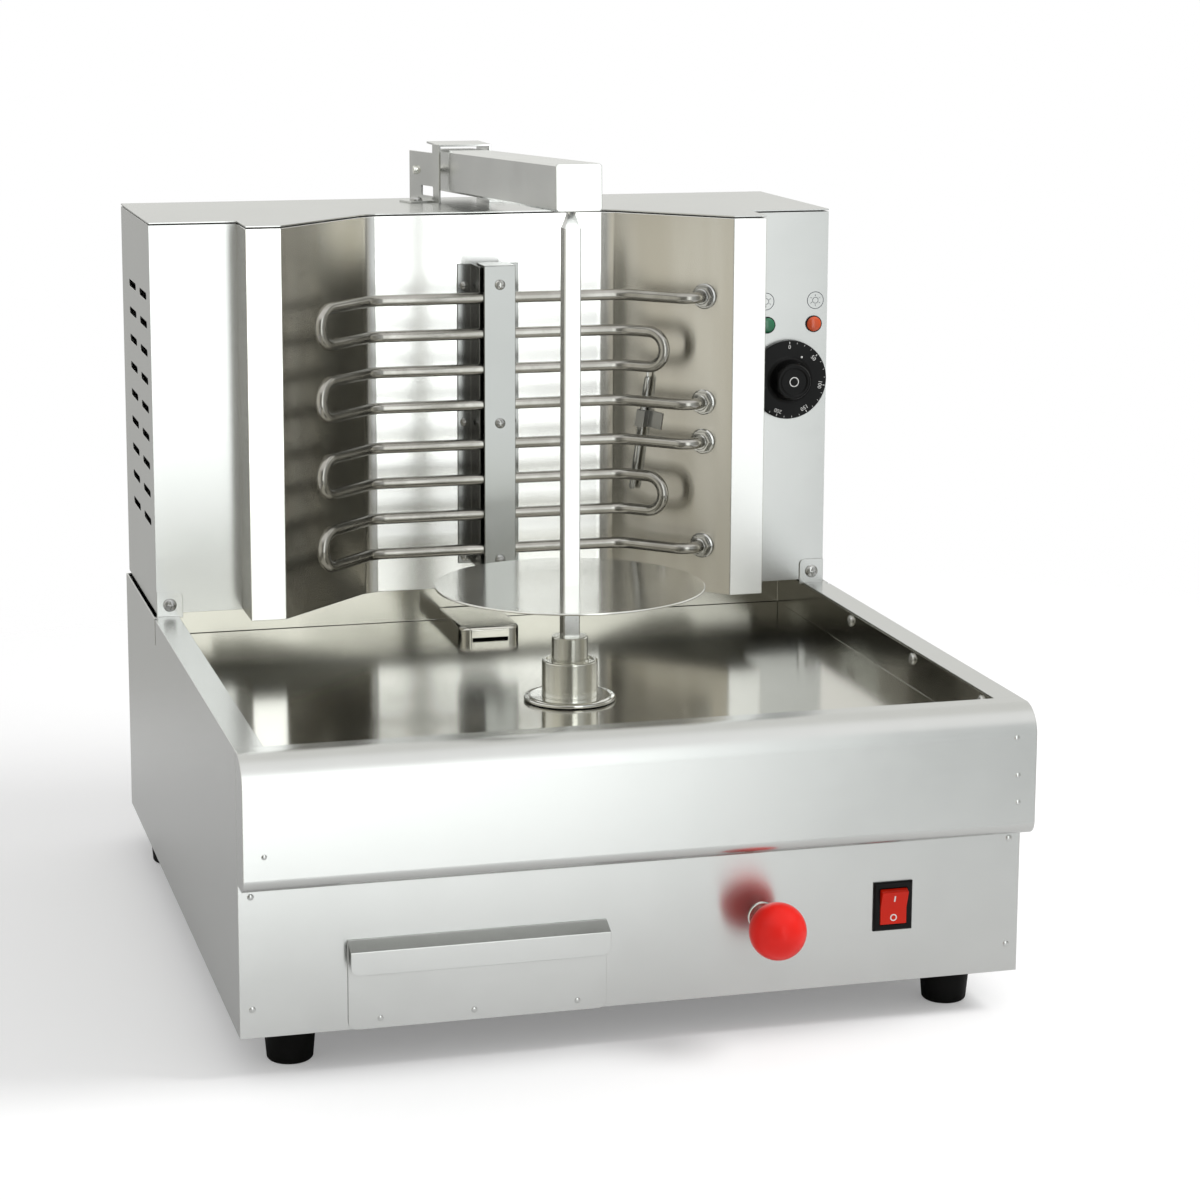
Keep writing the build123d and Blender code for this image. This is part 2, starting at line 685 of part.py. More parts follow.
def reflector():
    """The folded reflector: flanges, wings, angled panels and back wall in one sheet."""
    seam_y = COLUMN_Y + SHEET
    start = (WING_OUTER_X + SEAM_FLANGE, seam_y)
    run = [start] + recess_run(seam_y) + mirrored([start])
    sheet = prism(sheet_outline(run, -SHEET), UPPER_Z, FACE_TOP_Z)
    for plane in boss_planes():
        sheet -= plane * Pos(0, 0, -2 * SHEET) * peg(NECK_RADIUS + BORE_CLEARANCE, 4 * SHEET)
    entry = bulb_plane().origin + Vector(0, 0, CAPILLARY_RISE) - PANEL_NORMAL * (BULB_GAP + BULB_RADIUS)
    hole = Pos(0, 0, -2 * SHEET) * peg(CAPILLARY_RADIUS + SHEET, 4 * SHEET)
    return sheet - Plane(origin=entry, z_dir=PANEL_NORMAL) * hole


def upper_outline(margin):
    """The upper body's outline in plan, drawn in by a margin."""
    x = UPPER_X - margin
    front = COLUMN_Y + margin
    back = BACK_Y - margin
    run = offset_line(recess_run(COLUMN_Y), -margin)
    ends = [(run[0][0], front), (run[-1][0], front)]
    return [(x, back), (x, front), ends[0]] + run[1:-1] + [ends[1], (-x, front), (-x, back)]


def top_cover():
    """The flat top sheet with lips turned down inside the side walls."""
    cover = prism(upper_outline(0), COVER_Z, TOP_Z)
    front = COLUMN_Y + COVER_LIP_SETBACK
    back = BACK_Y - COVER_LIP_SETBACK
    for side in (-1, 1):
        x = side * (UPPER_X - SHEET)
        cover += block(x, x - side * SHEET, front, back, COVER_Z - COVER_LIP, COVER_Z)
    return cover


def upper_floor():
    """The sheet that closes the upper body underneath, with a hole for the wiring."""
    z0 = UPPER_Z - SHEET
    z1 = UPPER_Z + 2 * SHEET
    floor = prism(upper_outline(SHEET), UPPER_Z, UPPER_Z + SHEET)
    rear = BACK_Y - 2 * SHEET
    corner = UPPER_X - SHEET
    for side in (-1, 1):
        seam = side * (WING_OUTER_X - SHEET)
        floor -= block(seam, side * (WING_OUTER_X + SEAM_FLANGE), COLUMN_Y, COLUMN_Y + 2 * SHEET, z0, z1)
        floor -= block(side * corner, side * (corner - FLANGE), rear, BACK_Y, z0, z1)
    upstand = UPPER_X - UPSTAND_INSET
    floor -= block(-upstand, upstand, rear, BACK_Y, z0, z1)
    wiring_place = Pos(CONTROL_X, (TRAY_BACK_Y + BACK_Y) / 2, z0)
    return floor - wiring_place * peg(WIRING_HOLE_RADIUS, z1 - z0)


def upper_back_panel():
    """The flat back panel of the upper body."""
    return block(-UPPER_X, UPPER_X, BACK_Y - SHEET, BACK_Y, UPPER_Z, FACE_TOP_Z)


def upper_shell(side):
    """One side of the upper body: column front, long side wall and rear flange."""
    back = BACK_Y - SHEET
    run = [(UPPER_X - SHEET - FLANGE, back), (UPPER_X, back), (UPPER_X, COLUMN_Y), (WING_OUTER_X, COLUMN_Y)]
    outline = [(side * x, y) for x, y in sheet_outline(run, -SHEET)]
    shell = prism(outline, UPPER_Z, FACE_TOP_Z)
    for cutter in vent_slots(side):
        shell -= cutter
    return shell


def vent_slots(side):
    """Cutters for the columns of cooling slots in one side wall."""
    slots = []
    slot = chamfer(Rectangle(VENT_LENGTH, VENT_HEIGHT).vertices(), VENT_CORNER)
    for column in range(VENT_COLUMNS):
        y = COLUMN_Y + VENT_SETBACK + column * VENT_COLUMN_PITCH
        for row in range(VENT_ROWS):
            origin = (side * (UPPER_X - 2 * SHEET), y, TOP_Z - VENT_TOP_DROP - row * VENT_PITCH)
            plane = Plane(origin=origin, x_dir=(0, 1, 0), z_dir=(side, 0, 0))
            slots.append(extrude(plane * slot, 3 * SHEET))
    return slots


def control_shell():
    """The right side of the upper body, with holes for the dial's stem and the lamps."""
    shell = upper_shell(1)
    y0 = COLUMN_Y - SHEET
    y1 = COLUMN_Y + 2 * SHEET
    shell -= bar_y(CONTROL_X, DIAL_Z, y0, y1, STEM_RADIUS + BORE_CLEARANCE)
    for x in LAMP_XS:
        shell -= peg_y(x, LAMP_Z, y0, y1, LAMP_BODY_RADIUS + BORE_CLEARANCE)
    return shell


# Heating elements
def before_panel(reach, standoff):
    """A plan point in front of the right angled panel: its reach from the wall, and its standoff."""
    step = PANEL_STANDOFF - standoff
    return TUBE_CORNER_X + (reach + step) / sqrt(2), TUBE_Y + (step - reach) / sqrt(2)


def boss_planes():
    """Where the element ends pass the right angled panel."""
    x, y = before_panel(TERMINAL_REACH, 0)
    drop = (RUN_COUNT - 1) * RUN_PITCH
    heights = [z for top in (UPPER_TUBE_Z, LOWER_TUBE_Z) for z in (top, top - drop)]
    return [Plane(origin=(x, y, z), z_dir=PANEL_NORMAL) for z in heights]


def heating_element(top):
    """One tubular element, bent into its runs, both ends going in through the panel."""
    corner = (TUBE_CORNER_X, TUBE_Y)
    left_end = before_panel(LEFT_REACH, PANEL_STANDOFF)
    right_end = before_panel(RIGHT_REACH, PANEL_STANDOFF)
    terminal = before_panel(TERMINAL_REACH, PANEL_STANDOFF)
    tail = before_panel(TERMINAL_REACH, -TERMINAL_TAIL)
    turn = RUN_PITCH / 2 - BEND_MARGIN
    points = [(*tail, top)]
    radii = []
    for run in range(RUN_COUNT):
        z = top - run * RUN_PITCH
        outer = run in (0, RUN_COUNT - 1)
        end = terminal if outer else right_end
        stretch = [(*end, z), (*corner, z), (-corner[0], corner[1], z), (-left_end[0], left_end[1], z)]
        bends = [TERMINAL_BEND if outer else turn, PANEL_BEND, PANEL_BEND, turn]
        points += reversed(stretch) if run % 2 else stretch
        radii += reversed(bends) if run % 2 else bends
    points.append((*tail, top - (RUN_COUNT - 1) * RUN_PITCH))
    return bent_tube(points, radii, TUBE_RADIUS)


def element_bosses():
    """The threaded bosses that clamp the element ends in the right angled panel."""
    behind = SHEET + LOCKNUT_HEIGHT
    boss = peg(BOSS_RADIUS, BOSS_HEIGHT)
    boss += Pos(0, 0, BOSS_HEIGHT) * peg(NUT_RADIUS, NUT_HEIGHT, 6)
    boss += Pos(0, 0, -behind) * (peg(NECK_RADIUS, behind) + peg(NUT_RADIUS, LOCKNUT_HEIGHT, 6))
    boss -= extrude(round_hole(TUBE_RADIUS), 2 * behind, both=True)
    return group([plane * boss for plane in boss_planes()])


def element_channel():
    """The hat channel on the back wall that the tubes rest against."""
    half = CLAMP_WIDTH / 2
    run = [(half + CHANNEL_FLANGE, WALL_Y), (half, WALL_Y), (half, TUBE_Y + TUBE_RADIUS + SHEET)]
    return prism(sheet_outline(run + mirrored(run), SHEET), CLAMP_BOTTOM_Z, CLAMP_TOP_Z)


def element_clamp():
    """The strip in front of the tubes, folded back over the channel's top."""
    back = TUBE_Y - TUBE_RADIUS
    front = back - CLAMP_THICKNESS
    half = CLAMP_WIDTH / 2
    strip = block(-half, half, front, back, CLAMP_BOTTOM_Z, CLAMP_TOP_Z)
    fold_end = TUBE_Y + TUBE_RADIUS + FLANGE
    return strip + block(-half, half, front, fold_end, CLAMP_TOP_Z, CLAMP_TOP_Z + CLAMP_THICKNESS)


# Thermostat bulb
def bulb_plane():
    """The top of the bulb, with Z running down along the bulb."""
    x, y = before_panel(BULB_TOP_REACH, BULB_GAP + BULB_RADIUS)
    lean = tan(radians(BULB_LEAN)) / sqrt(2)
    return Plane(origin=(x, y, TOP_Z - BULB_TOP_DROP), z_dir=(-lean, lean, -1))


def capillary_bulb():
    """The sensing bulb with the stub of its capillary turned into the panel."""
    plane = bulb_plane()
    bulb = plane * peg(BULB_RADIUS, BULB_LENGTH)
    bend = plane.origin + Vector(0, 0, CAPILLARY_RISE)
    tail = bend - PANEL_NORMAL * (BULB_GAP + BULB_RADIUS + TERMINAL_TAIL)
    start = plane.origin + plane.z_dir * BULB_RADIUS
    return bulb + bent_tube([start, bend, tail], [2 * CAPILLARY_RADIUS], CAPILLARY_RADIUS)


def capillary_clip():
    """The sheet clip that bridges the bulb, with its fixing plate beside it."""
    plane = bulb_plane()
    seat = plane.origin + plane.z_dir * CLIP_DROP - PANEL_NORMAL * (BULB_GAP + BULB_RADIUS)
    frame = Plane(origin=seat, x_dir=PANEL_NORMAL.cross(plane.z_dir), z_dir=PANEL_NORMAL)
    inner = BULB_RADIUS + BORE_CLEARANCE
    outer = inner + CLIP_THICKNESS
    height = BULB_GAP + BULB_RADIUS + outer
    clip = Pos(0, 0, height / 2) * Box(2 * outer, CLIP_SIZE, height)
    clip -= Pos(0, 0, height / 2 - CLIP_THICKNESS) * Box(2 * inner, 2 * CLIP_SIZE, height)
    clip += Pos(outer + CLIP_SIZE / 2 - CLIP_THICKNESS, 0, CLIP_THICKNESS / 2) * Box(
        CLIP_SIZE, CLIP_SIZE, CLIP_THICKNESS
    )
    return frame * clip


# Spit and its drive
def seal_disc():
    """The disc with a rounded rim, hollow underneath, that covers the tray's slot."""
    edge = DISC_RADIUS - DISC_BEAD / 2
    shoulder = DISC_HEIGHT - DISC_BEAD / 2
    rim = [(edge, 0), (DISC_RADIUS, DISC_BEAD / 2), (DISC_RADIUS, shoulder), (edge, DISC_HEIGHT)]
    disc = turned(rim) - peg(DISC_RADIUS - 2 * DISC_BEAD, DISC_HEIGHT - DISC_SHEET, TURNED_SIDES)
    disc -= extrude(round_hole(SHAFT_RADIUS), 2 * DISC_HEIGHT)
    return Pos(0, SPIT_Y, FLOOR_Z + RUNNING_CLEARANCE) * disc


def drive_socket():
    """The turned socket: two collars with a square bore, and the shaft below."""
    shoulder = SOCKET_Z + COLLAR_HEIGHT
    bevel = shoulder - COLLAR_BEVEL
    top_radius = COLLAR_RADIUS - COLLAR_BEVEL
    collar = turned([(COLLAR_RADIUS, SOCKET_Z), (COLLAR_RADIUS, bevel), (top_radius, shoulder)])
    socket = collar + Pos(0, 0, shoulder) * peg(SOCKET_RADIUS, SOCKET_HEIGHT, TURNED_SIDES)
    shaft = bar_z(0, SPIT_Y, CARRIAGE_UNDER_Z - SHAFT_ENGAGEMENT, SOCKET_Z, SHAFT_RADIUS)
    socket = Pos(0, SPIT_Y, 0) * socket + shaft
    return socket - square_bore(SOCKET_TOP_Z - SOCKET_DEPTH, SOCKET_TOP_Z + SHEET)


def square_bore(z0, z1):
    """A cutter for a square hole that the skewer fits."""
    side = BAR_SIDE + 2 * BORE_CLEARANCE
    return Pos(0, SPIT_Y, (z0 + z1) / 2) * Box(side, side, z1 - z0)


def skewer():
    """The square skewer with a four-sided point and a round tip."""
    low = SOCKET_TOP_Z - SOCKET_DEPTH
    bar = Pos(0, SPIT_Y, (low + BAR_TOP_Z) / 2) * Box(BAR_SIDE, BAR_SIDE, BAR_TOP_Z - low)
    bar = chamfer(bar.edges().filter_by(Axis.Z), BAR_BEVEL)
    shoulder = (BAR_SIDE - BAR_BEVEL) / 2
    tip = TIP_RADIUS / sqrt(2)
    point = ringed([
        rectangle_points(0, SPIT_Y, BAR_TOP_Z, shoulder, shoulder),
        rectangle_points(0, SPIT_Y, POINT_Z, tip, tip),
    ])
    return bar + point + bar_z(0, SPIT_Y, BAR_TOP_Z + TIP_RADIUS, POINT_Z + TIP_LENGTH, TIP_RADIUS)


def meat_plate():
    """The round plate on the skewer, with the hub that holds it."""
    top = FLOOR_Z + PLATE_LIFT
    under = top - PLATE_THICKNESS
    plate = Pos(0, SPIT_Y, under) * peg(PLATE_RADIUS, PLATE_THICKNESS, PLATE_SIDES)
    plate += Pos(0, SPIT_Y, under - PLATE_HUB_HEIGHT) * peg(PLATE_HUB_RADIUS, PLATE_HUB_HEIGHT)
    return plate - square_bore(under - 2 * PLATE_HUB_HEIGHT, top + SHEET)


def bevelled_drum(radius, low, top):
    """A round housing about Z with its lower edge bevelled."""
    return turned([(radius - MOTOR_BEVEL, low), (radius, low + MOTOR_BEVEL), (radius, top)])


def gear_motor():
    """The geared motor hanging under the carriage, bored for the socket's shaft."""
    top = CARRIAGE_UNDER_Z
    middle = top - GEARBOX_HEIGHT
    low = middle - MOTOR_HEIGHT
    drive = bevelled_drum(GEARBOX_RADIUS, middle, top) + bevelled_drum(MOTOR_RADIUS, low, middle)
    bore_end = top - SHAFT_ENGAGEMENT - RUNNING_CLEARANCE
    bore = bar_z(0, SPIT_Y, bore_end, top + SHEET, SHAFT_RADIUS + BORE_CLEARANCE)
    return Pos(0, SPIT_Y, 0) * drive - bore


def drive_carriage():
    """The sliding plate with its guide blocks and the arm down to the rod."""
    front = SPIT_Y - CARRIAGE_LENGTH / 2
    back = SPIT_Y + CARRIAGE_LENGTH / 2
    under = CARRIAGE_UNDER_Z
    edge = GUIDE_X + CARRIAGE_MARGIN
    half = BUSH_WIDTH / 2
    bore = GUIDE_RADIUS + BORE_CLEARANCE
    carriage = block(-edge, edge, front, back, under, CARRIAGE_Z)
    carriage -= Pos(0, SPIT_Y, GUIDE_Z) * peg(SHAFT_RADIUS + SLOT_MARGIN, CARRIAGE_Z)
    for x in (-GUIDE_X, GUIDE_X):
        for y in (front, back - BUSH_LENGTH):
            carriage += block(x - half, x + half, y, y + BUSH_LENGTH, GUIDE_Z - GUIDE_DROP, under)
        carriage -= peg_y(x, GUIDE_Z, front - SHEET, back + SHEET, bore)
    right = ROD_X + ROD_ARM_WIDTH / 2
    left = right - ROD_ARM_WIDTH
    low = CONTROL_Z - ROD_ARM_WIDTH / 2
    arm_back = ROD_ARM_Y + CARRIAGE_SHEET
    carriage += block(edge, right, ROD_ARM_Y, ROD_ARM_Y + ROD_ARM_WIDTH, under, CARRIAGE_Z)
    carriage += block(left, right, ROD_ARM_Y, arm_back, low, under)
    rod_bore = ROD_RADIUS + BORE_CLEARANCE
    return carriage - peg_y(ROD_X, CONTROL_Z, ROD_ARM_Y - SHEET, arm_back + SHEET, rod_bore)


def guide_rods():
    """The two rods that the carriage slides on."""
    front = SPIT_Y - GUIDE_LENGTH / 2
    back = SPIT_Y + GUIDE_LENGTH / 2
    return group([peg_y(x, GUIDE_Z, front, back, GUIDE_RADIUS) for x in (-GUIDE_X, GUIDE_X)])


def rail_brackets():
    """The two brackets under the tray that carry the guide rods."""
    brackets = []
    top = FLOOR_Z - SHEET
    width = GUIDE_X + RAIL_MARGIN
    for end in (-1, 1):
        y = SPIT_Y + end * (GUIDE_LENGTH / 2 - RAIL_END_INSET)
        bracket = block(-width, width, y, y - end * RAIL_SHEET, GUIDE_Z - RAIL_MARGIN, top)
        bracket += block(-width, width, y, y + end * FLANGE, top - RAIL_SHEET, top)
        for x in (-GUIDE_X, GUIDE_X):
            bracket -= peg_y(x, GUIDE_Z, y - FLANGE, y + FLANGE, GUIDE_RADIUS + BORE_CLEARANCE)
        brackets.append(bracket)
    return group(brackets)


def ball_knob():
    """The ball with a flat and a bore for the rod."""
    flat = BALL_RADIUS - BALL_FLAT
    rings = [(sqrt(BALL_RADIUS * BALL_RADIUS - flat * flat), -flat)]
    for angle in range(-90 + 2 * BALL_STEP, 90, BALL_STEP):
        rings.append((BALL_RADIUS * cos(radians(angle)), BALL_RADIUS * sin(radians(angle))))
    ball = turned(rings + [(BALL_POLE, BALL_RADIUS)])
    ball -= Pos(0, 0, -BALL_RADIUS) * peg(ROD_RADIUS + BORE_CLEARANCE, BALL_RADIUS)
    return facing_front(ROD_X, FRONT_Y - BALL_STANDOFF, CONTROL_Z) * ball


def pull_rod():
    """The rod from the ball to the carriage's arm, with a nut on each side of the arm."""
    back = ROD_ARM_Y + CARRIAGE_SHEET
    rod = peg_y(ROD_X, CONTROL_Z, FRONT_Y - BALL_STANDOFF, back + ROD_TAIL, ROD_RADIUS)
    for y in (ROD_ARM_Y - ROD_NUT_HEIGHT, back):
        rod += peg_y(ROD_X, CONTROL_Z, y, y + ROD_NUT_HEIGHT, ROD_NUT_RADIUS, 6)
    return rod


def rod_bush():
    """The flanged bush in the front panel that the rod slides in."""
    front = FRONT_Y - BUSHING_PROUD
    back = FRONT_Y + BUSHING_LENGTH
    bush = peg_y(ROD_X, CONTROL_Z, front, FRONT_Y, BUSHING_FLANGE_RADIUS)
    bush += peg_y(ROD_X, CONTROL_Z, FRONT_Y, back, BUSHING_RADIUS - BORE_CLEARANCE)
    return bush - peg_y(ROD_X, CONTROL_Z, front - SHEET, back + SHEET, ROD_RADIUS + BORE_CLEARANCE)


# Support arm
def tilted(shape):
    """A shape drawn about the arm's pivot, set there at the arm's rest angle."""
    return Pos(0, PIVOT_Y, PIVOT_Z) * Rot(-ARM_TILT, 0, 0) * shape


def arm_bar(y0, y1):
    """The arm's outer shape along Y: a square bar with eased edges."""
    outline = chamfer(Rectangle(ARM_SIDE, ARM_SIDE).vertices(), ARM_CORNER)
    return extrude(front_plane(y1) * outline, y1 - y0)


def support_arm():
    """The square tube over the spit, slotted underneath for the skewer's tip."""
    inner = ARM_SIDE - 2 * ARM_WALL
    arm = arm_bar(ARM_FRONT, ARM_TAIL)
    arm -= block_at(0, 0, inner, inner, ARM_FRONT - SHEET, ARM_TAIL + SHEET)
    arm -= bar_x(-ARM_SIDE, ARM_SIDE, 0, 0, PIVOT_RADIUS + BORE_CLEARANCE)
    length = 2 * (CARRIAGE_TRAVEL + TIP_RADIUS + ARM_SLOT_MARGIN)
    slot = SlotOverall(length, 2 * (TIP_RADIUS + RUNNING_CLEARANCE), rotation=90)
    arm -= extrude(Pos(0, SPIT_Y - PIVOT_Y, -ARM_SIDE) * slot, ARM_SIDE)
    return tilted(arm)


def arm_end_cap():
    """The pressed-in cap that closes the arm's front end."""
    plug = ARM_SIDE - 2 * ARM_WALL - 2 * BORE_CLEARANCE
    cap = arm_bar(ARM_FRONT - ARM_WALL, ARM_FRONT)
    return tilted(cap + block_at(0, 0, plug, plug, ARM_FRONT, ARM_FRONT + 2 * ARM_WALL))


def splayed(shape):
    """A shape drawn from the left wall's front corner, turned out to the left."""
    return Pos(-SADDLE_X, SADDLE_Y, 0) * Rot(0, 0, SPLAY_ANGLE) * shape


def saddle_bracket():
    """The bent saddle: strap, straight right wall, splayed left wall and two feet."""
    outer = SADDLE_X + SADDLE_SHEET
    back = SADDLE_Y + SADDLE_LENGTH
    top = STRAP_Z + SADDLE_SHEET
    saddle = block(-outer, outer, SADDLE_Y, back, STRAP_Z, top)
    saddle += block(SADDLE_X, outer, SADDLE_Y, back, TOP_Z, top)
    saddle += block(SADDLE_X, outer + SADDLE_FOOT, SADDLE_Y, SADDLE_Y + SADDLE_FOOT, TOP_Z, SADDLE_FOOT_Z)
    shoulder = STRAP_Z - SPLAY_STEP
    wall = block(-SADDLE_SHEET, 0, 0, SADDLE_LENGTH + SPLAY_STEP, TOP_Z, shoulder)
    wall += block(-SADDLE_SHEET, 0, 0, SPLAY_JOIN, shoulder, top)
    y0 = SADDLE_FOOT / 2
    y1 = y0 + SADDLE_FOOT
    window = SADDLE_FOOT_Z + WINDOW_LIFT
    wall -= block(-2 * SADDLE_SHEET, SADDLE_SHEET, y0, y1, window, window + WINDOW_HEIGHT)
    wall += block(-SADDLE_SHEET - SADDLE_FOOT, 0, y0, y1, TOP_Z, SADDLE_FOOT_Z)
    saddle += splayed(wall)
    return saddle - bar_x(-3 * ARM_SIDE, 3 * ARM_SIDE, PIVOT_Y, PIVOT_Z, PIVOT_RADIUS + BORE_CLEARANCE)


def arm_hinge_pin():
    """The pin through the saddle's walls and the arm, with a head at its right end."""
    left = -SADDLE_X - SADDLE_OFFSET * tan(radians(SPLAY_ANGLE)) - 2 * PIVOT_HEAD_HEIGHT
    right = SADDLE_X + SADDLE_SHEET
    pin = bar_x(left, right, PIVOT_Y, PIVOT_Z, PIVOT_RADIUS)
    head_plane = Plane(origin=(right, PIVOT_Y, PIVOT_Z), z_dir=(1, 0, 0))
    return pin + head_plane * peg(PIVOT_HEAD_RADIUS, PIVOT_HEAD_HEIGHT)


# Controls
def switch_frame():
    """The switch's bezel and body, hollow in front for the rocker."""
    x = SWITCH_X
    z = CONTROL_Z
    front = FRONT_Y - SWITCH_PROUD
    back = FRONT_Y + SWITCH_BODY_DEPTH
    bezel = block_at(x, z, SWITCH_WIDTH, SWITCH_HEIGHT, front, FRONT_Y)
    bezel = chamfer(bezel.faces().sort_by(Axis.Y)[0].edges(), SWITCH_PROUD / 2)
    fit = 2 * BORE_CLEARANCE
    body = block_at(x, z, SWITCH_BODY_WIDTH - fit, SWITCH_BODY_HEIGHT - fit, FRONT_Y, back)
    gap = 2 * RUNNING_CLEARANCE
    height = 2 * ROCKER_RADIUS + gap
    cavity = block_at(x, z, ROCKER_WIDTH + gap, height, front - SHEET, back - SWITCH_FLOOR)
    reach = ROCKER_WIDTH / 2 + ROCKER_PIN_LENGTH + RUNNING_CLEARANCE
    pivot = bar_x(x - reach, x + reach, ROCKER_Y, z, ROCKER_PIN_RADIUS + BORE_CLEARANCE)
    return bezel + body - cavity - pivot


def switch_rocker():
    """The rocker: round ends about its pivot and a shallow waist in front."""
    half = ROCKER_WIDTH / 2
    upper = [(-ROCKER_RAISE, ROCKER_RADIUS), (0, ROCKER_RADIUS), (ROCKER_BACK, ROCKER_BACK_HALF)]
    lower = [(y, -z) for y, z in reversed(upper)]
    profile = [(-ROCKER_WAIST, 0)] + upper + lower
    rocker = bar_x(-half, half, 0, 0, ROCKER_RADIUS) & side_prism(profile, -half, half)
    reach = half + ROCKER_PIN_LENGTH
    rocker += bar_x(-reach, reach, 0, 0, ROCKER_PIN_RADIUS)
    return Pos(SWITCH_X, ROCKER_Y, CONTROL_Z) * Rot(ROCKER_TILT, 0, 0) * rocker


def thermostat_knob():
    """The dial: a thin disc with a raised cap, bored for the stem."""
    disc = DIAL_GAP + DIAL_THICKNESS
    top = disc + CAP_HEIGHT
    end = top - CAP_BEVEL
    edge = disc - CAP_BEVEL
    dial = turned([(DIAL_RADIUS, DIAL_GAP), (DIAL_RADIUS, edge), (DIAL_RADIUS - CAP_BEVEL, disc)])
    dial += turned([(CAP_RADIUS, disc), (CAP_NECK_RADIUS, end), (CAP_NECK_RADIUS - CAP_BEVEL, top)])
    dial -= extrude(round_hole(STEM_RADIUS), end)
    return facing_front(CONTROL_X, COLUMN_Y, DIAL_Z) * dial


def thermostat_stem():
    """The thermostat's stem, turned by the dial."""
    front = COLUMN_Y - DIAL_GAP - DIAL_THICKNESS - CAP_HEIGHT + CAP_BEVEL
    return bar_y(CONTROL_X, DIAL_Z, front, COLUMN_Y + SHEET + STEM_DEPTH, STEM_RADIUS)


def thermostat_body():
    """The thermostat behind the column's front, bored for its stem."""
    front = COLUMN_Y + SHEET
    body = block_at(CONTROL_X, DIAL_Z, THERMOSTAT_WIDTH, THERMOSTAT_WIDTH, front, front + THERMOSTAT_DEPTH)
    end = front + STEM_DEPTH + RUNNING_CLEARANCE
    return body - bar_y(CONTROL_X, DIAL_Z, front - SHEET, end, STEM_RADIUS + BORE_CLEARANCE)


def lamp(x):
    """A signal lamp: a low lens in front of the column and its body behind."""
    bevel = LAMP_PROUD / 3
    lens = turned([(LAMP_RADIUS, 0), (LAMP_RADIUS, LAMP_PROUD - bevel), (LAMP_RADIUS - bevel, LAMP_PROUD)])
    lens = facing_front(x, COLUMN_Y, LAMP_Z) * lens
    return lens + peg_y(x, LAMP_Z, COLUMN_Y, COLUMN_Y + LAMP_BODY_LENGTH, LAMP_BODY_RADIUS)


# Grease drawer
def drawer_front():
    """The drawer's front plate with rounded lower corners and a folded lip to pull."""
    back = FRONT_Y - RUNNING_CLEARANCE
    front = back - DRAWER_SHEET
    top = BASE_Z + DRAWER_HEIGHT
    centre = Pos(DRAWER_LEFT + DRAWER_WIDTH / 2, BASE_Z + DRAWER_HEIGHT / 2)
    face = centre * Rectangle(DRAWER_WIDTH, DRAWER_HEIGHT)
    face = fillet(face.vertices().group_by(Axis.Y)[0], DRAWER_CORNER)
    plate = extrude(front_plane(back) * face, DRAWER_SHEET)
    fold = top - HANDLE_SLOPE
    run = [(front, top), (front - HANDLE_REACH, fold), (front - HANDLE_REACH, fold - HANDLE_DROP)]
    lip = side_prism(sheet_outline(run, DRAWER_SHEET), DRAWER_LEFT, DRAWER_RIGHT)
    return plate + fillet(lip.edges().filter_by(Axis.Y).group_by(Axis.Z)[0], DRAWER_CORNER)


def drawer_box():
    """The open box that catches the grease."""
    front = FRONT_Y - RUNNING_CLEARANCE
    back = FRONT_Y + BOX_LENGTH
    wall = DRAWER_SHEET
    box = block(BOX_LEFT, BOX_RIGHT, front, back, BOX_Z, BOX_Z + BOX_HEIGHT)
    return box - block(
        BOX_LEFT + wall, BOX_RIGHT - wall, front + wall, back - wall, BOX_Z + wall, BOX_Z + 2 * BOX_HEIGHT
    )


def drawer_runners():
    """The two angle runners on the bottom plate that guide the drawer."""
    front = FRONT_Y + 3 * SHEET
    back = FRONT_Y + BOX_LENGTH
    ledge = BOX_Z - RUNNING_CLEARANCE
    runners = []
    for side, x in ((-1, BOX_LEFT), (1, BOX_RIGHT)):
        guard = x + side * RUNNING_CLEARANCE
        outer = guard + side * SHEET
        runner = block(outer, x - side * RUNNER_WIDTH, front, back, PLATE_Z, ledge)
        runners.append(runner + block(guard, outer, front, back, PLATE_Z, BOX_Z + RUNNER_GUARD))
    return group(runners)


# Mains entry
def cable_gland():
    """The gland in the back: a hexagon, a domed nut and a locknut inside, all bored for the cord."""
    outside = BACK_Y - SHEET
    inside = outside - SHEET
    end = BACK_Y + GLAND_REACH
    nut = outside + GLAND_NUT_HEIGHT
    low = inside - GLAND_NUT_HEIGHT
    dome = peg_y(GLAND_X, GLAND_Z, nut, end, GLAND_RADIUS - CAP_BEVEL)
    gland = chamfer(dome.edges().group_by(Axis.Y)[-1], 2 * CAP_BEVEL)
    gland += peg_y(GLAND_X, GLAND_Z, outside, nut, GLAND_RADIUS, 6)
    gland += peg_y(GLAND_X, GLAND_Z, low, inside, GLAND_RADIUS, 6)
    gland += peg_y(GLAND_X, GLAND_Z, inside, outside, GLAND_THREAD_RADIUS)
    return gland - bar_y(GLAND_X, GLAND_Z, low - SHEET, end + SHEET, GLAND_BORE)


def terminal_block():
    """The terminal block on the bottom plate, with a row of screw wells."""
    left = GLAND_X - TERMINAL_WIDTH / 2
    front = BACK_Y - TERMINAL_BACK_GAP - TERMINAL_DEPTH
    top = PLATE_Z + TERMINAL_HEIGHT
    body = block(left, left + TERMINAL_WIDTH, front, front + TERMINAL_DEPTH, PLATE_Z, top)
    pitch = TERMINAL_WIDTH / TERMINAL_WAYS
    for i in range(TERMINAL_WAYS):
        x = left + (i + 0.5) * pitch
        well = Pos(x, front + TERMINAL_DEPTH / 2, top - TERMINAL_HEIGHT / 2)
        body -= well * peg(pitch / 4, TERMINAL_HEIGHT)
    return body


